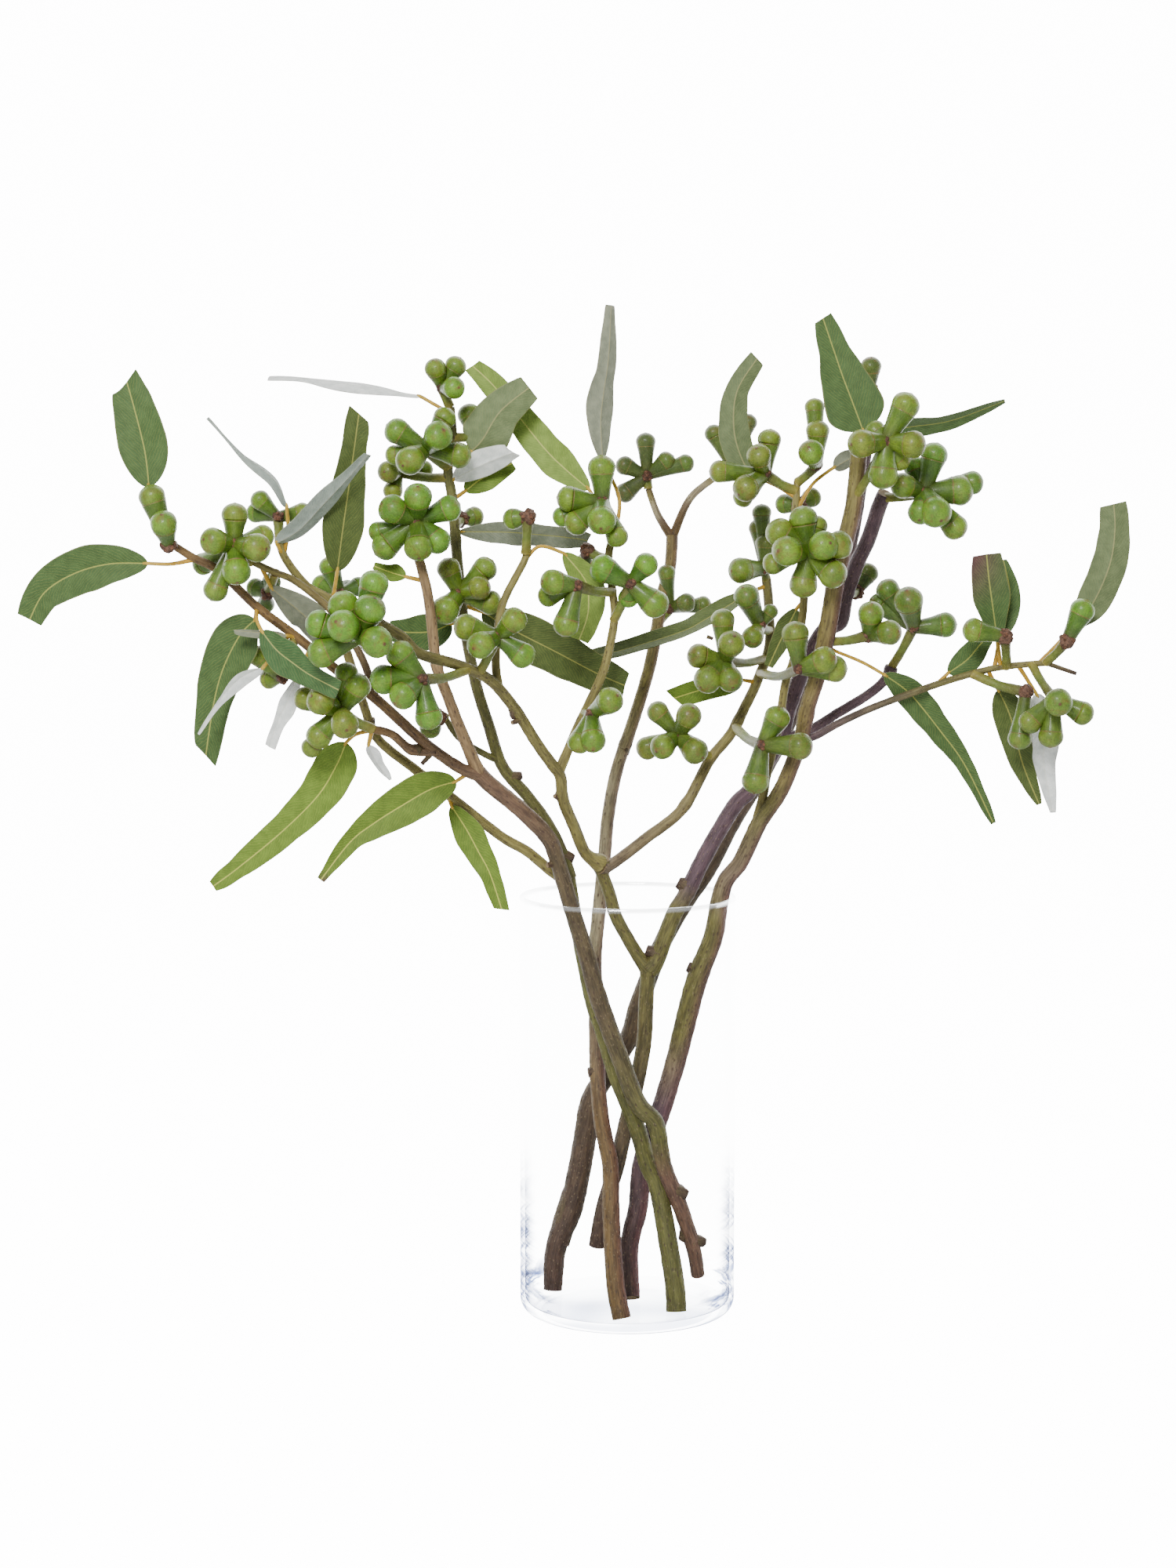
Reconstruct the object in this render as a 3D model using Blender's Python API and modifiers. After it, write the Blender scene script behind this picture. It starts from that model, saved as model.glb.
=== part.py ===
"""Six cut eucalyptus sprigs with gum nuts, standing in a glass cylinder vase.

Metres, +Z up, with the origin under the vase on its axis and the front towards -Y.
Routes are lists of (x, z, y) in millimetres: x and z are read in the upright plane through the
vase's axis, as an eye 1.5 m in front of it sees them, and y is the depth behind that plane.
"""
import math

import bmesh
import bpy
from mathutils import Matrix, Vector

MM = 0.001
EYE = Vector((-18.7, -1500.0, 397.0))
CLEARANCE = 0.3

VASE_DIAMETER = 102.0
VASE_HEIGHT = 200.0
VASE_WALL = 2.2
VASE_FLOOR = 5.0
VASE_CORNER = 7.0
VASE_SEGMENTS = 36

THICK_WOOD = 2.65
WOOD_SIDES_LEVEL = 1
TWIG_SIDES_LEVEL = 0
PETIOLE_WIDTH = 2.0
BLADE_THICKNESS = 0.8
BLADE_STEPS = 5
BLADE_FOOT = 0.14
BLADE_SWELL = 0.8
BLADE_TAPER = 1.35
HUB_RADIUS = 3.0
PEDUNCLE_RADIUS = 2.2
NUT_SIDES = 5
NUT_LENGTH = 2.35
LARGE_NUT = 6.8
LARGE_NUT_RINGS = ((0.0, 0.0, 0.0), (0.84, 1.0, -0.5), (1.06, 1.0, 0.05), (0.7, 1.0, 0.6),
                   (0.0, 1.0, 0.86))
SMALL_NUT_RINGS = ((0.0, 0.0, 0.0), (1.06, 1.0, -0.1), (0.75, 1.0, 0.55), (0.0, 1.0, 0.86))

# Each branch: its radii from foot to end, evenly spread along its route, and the route.
WOOD = {
    "sprig_a": {
        "stem": ((4.5, 5.9, 5.2, 4.7, 4.4, 4.2, 3.9, 3.7, 3.5, 3.2, 3.0), [
            (-35.5, 9.5, 14), (-34, 30, 16), (-26.6, 50, 20), (-20.7, 80, 23), (-17.5, 100, 24),
            (-9.5, 115, 24), (1, 132, 24), (4.8, 146, 24), (10, 160, 24), (17, 178, 24),
            (27, 196, 25), (38, 212, 30), (50, 235, 38), (64, 258, 46), (75, 280, 52),
            (84, 305, 56), (92, 325, 58), (99, 345, 60), (105, 370, 62), (109, 395, 62),
            (111.5, 415, 60), (112.5, 432, 58)]),
        "heel": ((5.6, 5.4), [
            (-33, 32, 17), (-28.5, 48, 20), (-24.7, 60, 21.5), (-21.5, 75, 22.8)]),
    },
    "sprig_b": {
        "foot": ((4.0, 3.6), [
            (-14.4, 31, 8), (-11, 50, 5), (-5, 70, 2), (-0.6, 90, 2), (4.4, 110, 3),
            (7.9, 130, 3), (8.9, 150, 1), (10, 166, 0)]),
        "left": ((3.2, 2.9), [
            (10, 164, 0), (5.6, 170, 0), (-0.4, 180, -1), (-5.6, 190, -3), (-8.4, 200, -5),
            (-12.5, 212, -8), (-13, 217, -10)]),
        "right": ((4.0, 3.6), [
            (10, 164, 0), (14.1, 170, 0), (21.7, 190, 0), (27.5, 200, 0), (37.3, 220, 4),
            (50.2, 242, 10), (57, 249, 13), (65, 262, 17), (72, 275, 20), (76.9, 292, 20),
            (84.6, 312, 18), (92, 325, 15), (99.6, 329, 13), (102, 341, 7), (106.7, 355, 1),
            (112.5, 368, -7), (117, 382, -15), (120, 389, -19)]),
        "side": ((2.5, 2.2), [
            (71, 273, 20), (85.7, 278, 22), (98.6, 286, 21), (113.3, 295, 19), (121, 302, 17),
            (124, 308, 16)]),
        "front_left": ((2.9, 2.3), [
            (-13, 215, -10), (-20, 220, -16), (-25, 231.7, -24), (-30.4, 245, -34),
            (-31.7, 256, -40), (-35.8, 262, -45), (-42.9, 272, -52), (-53.7, 289, -63),
            (-65.3, 302, -76), (-79.7, 308.7, -88), (-97.6, 314, -102), (-105.6, 321.6, -108),
            (-113.4, 326.5, -114), (-118.3, 329.4, -118)]),
        "middle_twig": ((2.3, 1.7), [
            (-33, 257, -41), (-27.7, 269.5, -40), (-23.2, 280.4, -40), (-13.4, 301, -44),
            (-9.3, 313.7, -46), (-6.2, 331.4, -48), (-7.2, 343, -50), (-9, 360, -52),
            (-6, 372, -54)]),
        "light_twig": ((2.0, 1.6), [
            (-61, 299, -71), (-62, 310, -69), (-61, 325, -65), (-58, 339, -62), (-48.7, 357, -58),
            (-47.8, 361, -58)]),
        "inner": ((2.8, 2.3), [
            (-13, 214, -10), (-7.6, 214.5, -6), (8.9, 227, 2), (25.9, 241, 8), (38.7, 264, 12),
            (48.3, 276, 16), (56.6, 292, 20), (60.7, 301, 22), (66.2, 317, 25), (66.2, 334, 25),
            (64.8, 349, 22)]),
    },
    "sprig_c": {
        "stem": ((4.4, 3.7, 3.1, 2.9), [
            (-2.6, -4.5, -40), (-5.3, 10, -37), (-6.9, 30, -31), (-7.7, 50, -25), (-8.1, 70, -18),
            (-12, 90, -10), (-14, 110, -3), (-14.6, 125, 1), (-15, 150, 8), (-15.5, 170, 13),
            (-13.7, 190, 18), (-10.8, 220, 28), (-9, 239, 34), (-4.9, 260, 42), (2.5, 282, 50),
            (10.7, 310, 60), (16.3, 342, 70), (19.8, 355, 74), (20.7, 369, 78)]),
        "left": ((2.0, 1.6), [(20.7, 368, 78), (13.9, 379, 80), (9.5, 391, 82)]),
        "right": ((2.0, 1.6), [(20.7, 368, 78), (28.6, 386, 84), (40, 396, 90), (45, 400, 92)]),
    },
    "sprig_d": {
        "stem": ((4.3, 4.8, 4.9, 4.9, 5.3, 4.5, 4.0, 3.9, 3.6, 3.7, 4.2, 4.0, 3.7), [
            (2, 5.5, -5), (1, 30, 6), (5.2, 50, 11), (7, 70, 12), (11, 82, 12), (17.1, 100, 11),
            (22.9, 120, 9), (27.8, 140, 5), (33, 160, 2), (40.6, 180, 0), (43.3, 196, 0),
            (46.3, 206.5, 0), (53.5, 216, -2), (62, 234, -6), (71.3, 248, -10), (77.1, 261, -14),
            (81.8, 275, -18), (84.6, 289, -22), (88.5, 302, -25), (93.2, 323, -28),
            (98, 352, -31), (105, 381, -33), (107.2, 402, -34), (108, 412, -34)]),
        "twig": ((2.2, 1.7), [
            (61, 235, -6), (64, 248, -7), (66, 259, -6), (71, 280, -5), (74, 300, -8),
            (78, 312, -14), (82, 333, -24), (82, 352, -30), (78, 372, -27), (78.5, 384, -23),
            (79, 395, -20)]),
        "right": ((1.9, 1.5), [
            (82, 274, -18), (87.8, 275, -16), (100.6, 282, -14), (116, 289, -12),
            (137.6, 297, -12), (156, 303, -13), (174, 307.5, -16), (196, 309.7, -20)]),
    },
    "sprig_e": {
        "stem": ((4.9, 3.1), [
            (23.5, -1, -27), (23, 10, -25), (20, 30, -20), (14.5, 60, -13), (9.9, 70, -12),
            (5, 87, -12), (0, 100, -12), (-6, 115, -13), (-12, 135, -15), (-17, 150, -16),
            (-24, 185, -20), (-28, 210, -23)]),
        "main": ((3.1, 2.1), [
            (-27.5, 208, -23), (-32, 222, -25), (-38, 234, -27), (-47.4, 247, -30),
            (-59, 261, -34), (-65.3, 280, -38), (-71.6, 301, -41), (-77, 330, -43),
            (-80, 360, -45), (-82, 385, -48), (-84, 400, -50), (-82, 415, -52), (-83, 429, -52)]),
        "left": ((2.6, 1.8), [
            (-27, 205, -22.5), (-37, 212, -24), (-48, 221, -28), (-60, 228, -32), (-84, 247, -40),
            (-100.8, 260, -43), (-117.6, 274, -45), (-124, 289.5, -48), (-134, 322, -55),
            (-138.8, 338, -58), (-150.5, 346, -60), (-160, 358, -63), (-163, 366, -65)]),
        "small": ((1.7, 1.4), [(-60, 264, -35), (-66, 266, -38), (-79, 274, -44), (-86, 284, -50)]),
    },
    "sprig_f": {
        "stem": ((3.3, 3.8, 4.3, 4.2, 3.7, 3.8, 3.8), [
            (33.8, 17, -4), (31.6, 30, -10), (25.3, 50, -15.6), (17.4, 70, -19.8), (13.5, 90, -23),
            (5, 100, -24), (-2.8, 120, -25), (-13.5, 150, -27), (-19.1, 170, -29),
            (-25.4, 190, -31), (-33, 215.5, -34), (-37.5, 227, -38), (-50, 240, -45),
            (-64.4, 252, -52), (-70.7, 258, -56)]),
        "upper": ((2.7, 2.2), [
            (-70, 257, -56), (-79.7, 281, -64), (-84.6, 294, -68), (-89.8, 309, -71),
            (-92.3, 331, -72), (-94.2, 344, -73), (-97.7, 358, -74)]),
        "left": ((2.8, 1.7), [
            (-70, 257.5, -56), (-77.9, 259.6, -60), (-91.3, 268.6, -66), (-100, 276, -70),
            (-119.8, 294, -78), (-135, 305, -84), (-155, 321.6, -90), (-173.9, 336, -94),
            (-191.4, 352.7, -98), (-203.5, 359, -100), (-213, 365, -102)]),
        "low": ((2.2, 1.8), [
            (-91, 268.3, -66), (-101.7, 268.7, -70), (-111, 276, -76), (-120.3, 278.6, -82)]),
        "high": ((1.9, 1.5), [
            (-119, 293.3, -78), (-122, 305, -74), (-128, 318, -71), (-139, 334, -76),
            (-155, 347.5, -84), (-165, 352, -91), (-175.8, 357, -98)]),
    },
}

# Swellings and leaf scars on the wood: x, z, y and radius.
KNOTS = {
    "sprig_b": [(10.5, 173, 0, 4.1), (25.5, 205, 1, 4.6), (-13, 216, -9.5, 4.5),
                (-33, 247, -34, 2.3), (-53.7, 285, -61, 2.7), (27, 243, 8.5, 2.9),
                (123, 306.5, 16.5, 3.4), (52, 282, 17, 2.9), (12.5, 165.5, 0, 4.4)],
    "sprig_c": [(-17, 115, -2, 3.7), (0, 271, 46, 3.2), (14, 322, 64, 2.9)],
    "sprig_d": [(30, 165, 2, 3.9), (83, 285, -21, 3.7), (108, 411, -34, 4.1)],
    "sprig_e": [(-27, 217.5, -24, 3.4), (-51, 256.5, -32, 2.8), (-80.5, 367.5, -46, 2.6),
                (-120.3, 281, -46, 2.4)],
    "sprig_f": [(27, 56, -17.5, 3.9), (27, 35, -12, 3.7), (35.5, 33, -9, 3.7),
                (-90.5, 309, -71, 2.9), (-101.7, 269.5, -70, 2.6), (-72, 259, -57, 3.2)],
}

# Each leaf: sprig, branch, depth at its tip, width, roll at base and tip in degrees (0 faces the
# eye), where along the blade it is widest, width left at the cut tip as a share, slant of the cut,
# where the blade starts in its route, and its route as (x, z) from the branch.
LEAVES = [
    ("sprig_f", "left", -92, 22, 0, 0, 0.42, 0.5, -4, 2,
     [(-213, 364), (-219, 380), (-223.7, 392), (-225.4, 408.5), (-230.2, 429), (-233.4, 440.6)]),
    ("sprig_f", "left", -96, 21, 0, 0, 0.4, 0.55, 0, 2,
     [(-203.5, 358), (-214, 356), (-225, 356.3), (-243, 356), (-259.5, 351.4), (-273.3, 342.6),
      (-280.4, 330)]),
    ("sprig_e", "left", -76, 13, 70, 80, 0.3, 0.2, 0, 2,
     [(-161, 360.5), (-159, 371), (-159.5, 383), (-165.7, 395), (-181, 408), (-196, 424)]),
    ("sprig_e", "main", -44, 13, 60, 75, 0.6, 0.35, 0, 2,
     [(-83, 426), (-89, 429.5), (-97, 434), (-111, 436), (-130, 439), (-150, 442),
      (-167.5, 442.4)]),
    ("sprig_e", "left", -68, 19, 0, 0, 0.35, 0.5, 3, 2,
     [(-138.5, 337), (-137.3, 345), (-136, 353), (-134, 367.5), (-131.7, 383), (-129, 401),
      (-125.4, 426)]),
    ("sprig_e", "left", -84, 14, 44, 56, 0.38, 0.35, 0, 1,
     [(-160, 358.5), (-164.5, 366), (-154, 372), (-142.5, 384), (-132, 395), (-121.4, 407)]),
    ("sprig_f", "high", -62, 17, 30, 10, 0.38, 0.5, 0, 1,
     [(-172, 355.5), (-167, 345), (-151.5, 332), (-145.6, 324.6), (-141, 319)]),
    ("sprig_f", "left", -84, 22, 0, 0, 0.36, 0.45, 4, 1,
     [(-173.9, 335), (-174.7, 330), (-182, 322.6), (-190, 307), (-194.7, 290), (-198.6, 266)]),
    ("sprig_f", "left", -106, 10, 45, 60, 0.3, 0.12, 0, 1,
     [(-158, 324), (-171.6, 307), (-182, 302), (-191.4, 292), (-202, 276)]),
    ("sprig_f", "left", -80, 10, 30, 40, 0.38, 0.6, 0, 1,
     [(-149, 316.5), (-155, 303), (-159.5, 292), (-164, 283), (-168.6, 270)]),
    ("sprig_f", "left", -116, 16, 0, 20, 0.42, 0.5, 0, 2,
     [(-173.9, 336), (-174, 330), (-171.6, 324.5), (-165, 316), (-157.6, 310), (-149, 304),
      (-135.7, 297)]),
    ("sprig_f", "left", -102, 8, 60, 60, 0.38, 0.4, 0, 1,
     [(-155, 321.6), (-160, 322.5), (-172, 323.5), (-184.6, 324.6)]),
    ("sprig_f", "left", -72, 20, 0, 0, 0.3, 0.16, 0, 1,
     [(-74, 258.5), (-81, 253.7), (-93, 250), (-107, 242), (-119.6, 234), (-131, 225),
      (-145, 207)]),
    ("sprig_f", "low", -70, 20, 0, 10, 0.22, 0.28, 0, 2,
     [(-120.3, 278), (-128, 276), (-132.6, 272), (-137, 261.6), (-146, 247), (-163, 230),
      (-183.6, 213), (-195.8, 204)]),
    ("sprig_e", "left", -46, 14, 0, 0, 0.33, 0.48, 1.5, 1,
     [(-84.6, 248), (-83, 242), (-76, 231), (-70.7, 221), (-65, 210), (-59.5, 193)]),
    ("sprig_f", "low", -72, 7, 30, 40, 0.4, 0.3, 0, 1,
     [(-120.3, 278), (-122, 271), (-118, 263), (-112, 254.5)]),
    ("sprig_f", "upper", -66, 9, 20, 20, 0.38, 0.3, 0, 1,
     [(-95, 348), (-104, 350), (-111, 352), (-119, 355)]),
    ("sprig_e", "main", -56, 17, 0, 0, 0.38, 0.5, 0, 1,
     [(-76.5, 330), (-83, 328), (-92, 324.5), (-102, 324), (-112, 325)]),
    ("sprig_e", "main", -24, 22, 0, 0, 0.38, 0.55, -1, 1,
     [(-78, 337), (-68, 333.5), (-53.6, 325), (-34, 315), (-15, 305), (-1.3, 299)]),
    ("sprig_b", "light_twig", -40, 16, 0, 0, 0.38, 0.55, 0, 2,
     [(-50.5, 354), (-42, 364), (-30, 361), (-20, 348.5), (-18.4, 338), (-19.4, 330),
      (-22.8, 320.6)]),
    ("sprig_e", "main", -28, 14, 35, 35, 0.38, 0.6, 0, 1,
     [(-80.5, 370.5), (-78.8, 371.2), (-57.5, 371), (-43.8, 370), (-28, 368.5), (-18.7, 367)]),
    ("sprig_e", "main", -54, 15, 25, 40, 0.38, 0.5, -2, 1,
     [(-83, 392), (-81.6, 395.5), (-69, 402), (-59.5, 406), (-53.6, 408)]),
    ("sprig_e", "main", -38, 13, 0, 0, 0.38, 0.5, 0, 1,
     [(-82, 386), (-76, 390), (-68, 396), (-60, 400), (-54, 403)]),
    ("sprig_e", "main", -50, 23, 0, 0, 0.4, 0.52, 0, 2,
     [(-82.5, 411), (-77, 408), (-73, 408.5), (-67.8, 414), (-59.5, 427), (-46, 438)]),
    ("sprig_b", "middle_twig", -26, 16, 0, 0, 0.38, 0.5, 1, 2,
     [(-7.5, 367), (-12, 380), (-18.4, 391), (-29.6, 400.5), (-40, 411), (-61, 437),
      (-72.4, 448)]),
    ("sprig_b", "middle_twig", -38, 15, 30, 40, 0.38, 0.35, 0, 2,
     [(-8.5, 362), (-4, 385), (-12, 404), (-13, 422), (-11.5, 437), (-9.5, 450.5), (-8, 476)]),
    ("sprig_b", "inner", 2, 15, 62, 55, 0.38, 0.6, 0, 1,
     [(65.2, 346), (59, 343.5), (48, 337), (36.5, 330), (24.7, 324), (-2.7, 315.6),
      (-17.6, 312.6)]),
    ("sprig_d", "twig", -8, 15, 0, 0, 0.38, 0.55, 1, 2,
     [(78.6, 387), (70, 392), (60, 396.5), (54, 403), (49.4, 418), (50.6, 436), (60, 451.5)]),
    ("sprig_d", "twig", -12, 10, 30, 30, 0.38, 0.3, 0, 2,
     [(78.3, 380), (86, 393), (96, 401), (103, 405), (110, 408)]),
    ("sprig_d", "stem", -28, 27, 0, 0, 0.27, 0.33, -1, 1,
     [(108, 410), (109.5, 418), (107, 424.7), (103, 435), (99.5, 444), (96, 454), (90.4, 470)]),
    ("sprig_a", "stem", 52, 16, 50, 55, 0.35, 0.3, 0, 1,
     [(111.5, 415), (114.1, 417.5), (132, 420), (151, 423), (175.4, 432)]),
    ("sprig_d", "twig", -16, 11, 0, 0, 0.38, 0.4, 0, 1,
     [(81.8, 338), (79, 335), (75, 327), (71, 319), (66, 308)]),
    ("sprig_b", "inner", 8, 12, 0, 0, 0.38, 0.8, -3, 1,
     [(60.4, 300.5), (54, 301.6), (45.6, 300), (33, 296.6), (21.7, 293)]),
    ("sprig_d", "stem", 8, 14, 0, 0, 0.3, 0.22, 0, 3,
     [(92, 318), (98, 315), (110, 310), (120.6, 304), (132.7, 295), (147.5, 277), (159, 261),
      (172.5, 234)]),
    ("sprig_d", "right", -4, 16, 0, 10, 0.35, 0.15, 0, 1,
     [(169, 306.2), (174, 297), (180, 284), (186, 262), (194, 243)]),
    ("sprig_d", "right", -8, 15, 0, 30, 0.38, 0.2, 0, 1,
     [(183, 308.8), (192, 295), (196, 278), (196, 262), (200.5, 239)]),
    ("sprig_d", "right", -24, 17, 0, 0, 0.45, 0.8, 0, 1,
     [(175, 308), (173, 322), (170.8, 337), (169, 349), (167.7, 360.6)]),
    ("sprig_d", "right", -8, 11, 0, 0, 0.38, 0.3, 0, 1,
     [(172, 307), (174.4, 321), (179, 340), (175.6, 358)]),
    ("sprig_d", "right", -8, 13, 0, 0, 0.38, 0.3, 0, 1,
     [(145, 299.5), (150.5, 305), (159, 311), (165, 318), (171, 325)]),
    ("sprig_d", "right", -14, 17, 0, 0, 0.35, 0.75, -1, 2,
     [(193, 309.6), (201, 318), (209, 327), (218, 338), (225.5, 356), (227.6, 372),
      (226.8, 384)]),
]

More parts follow.
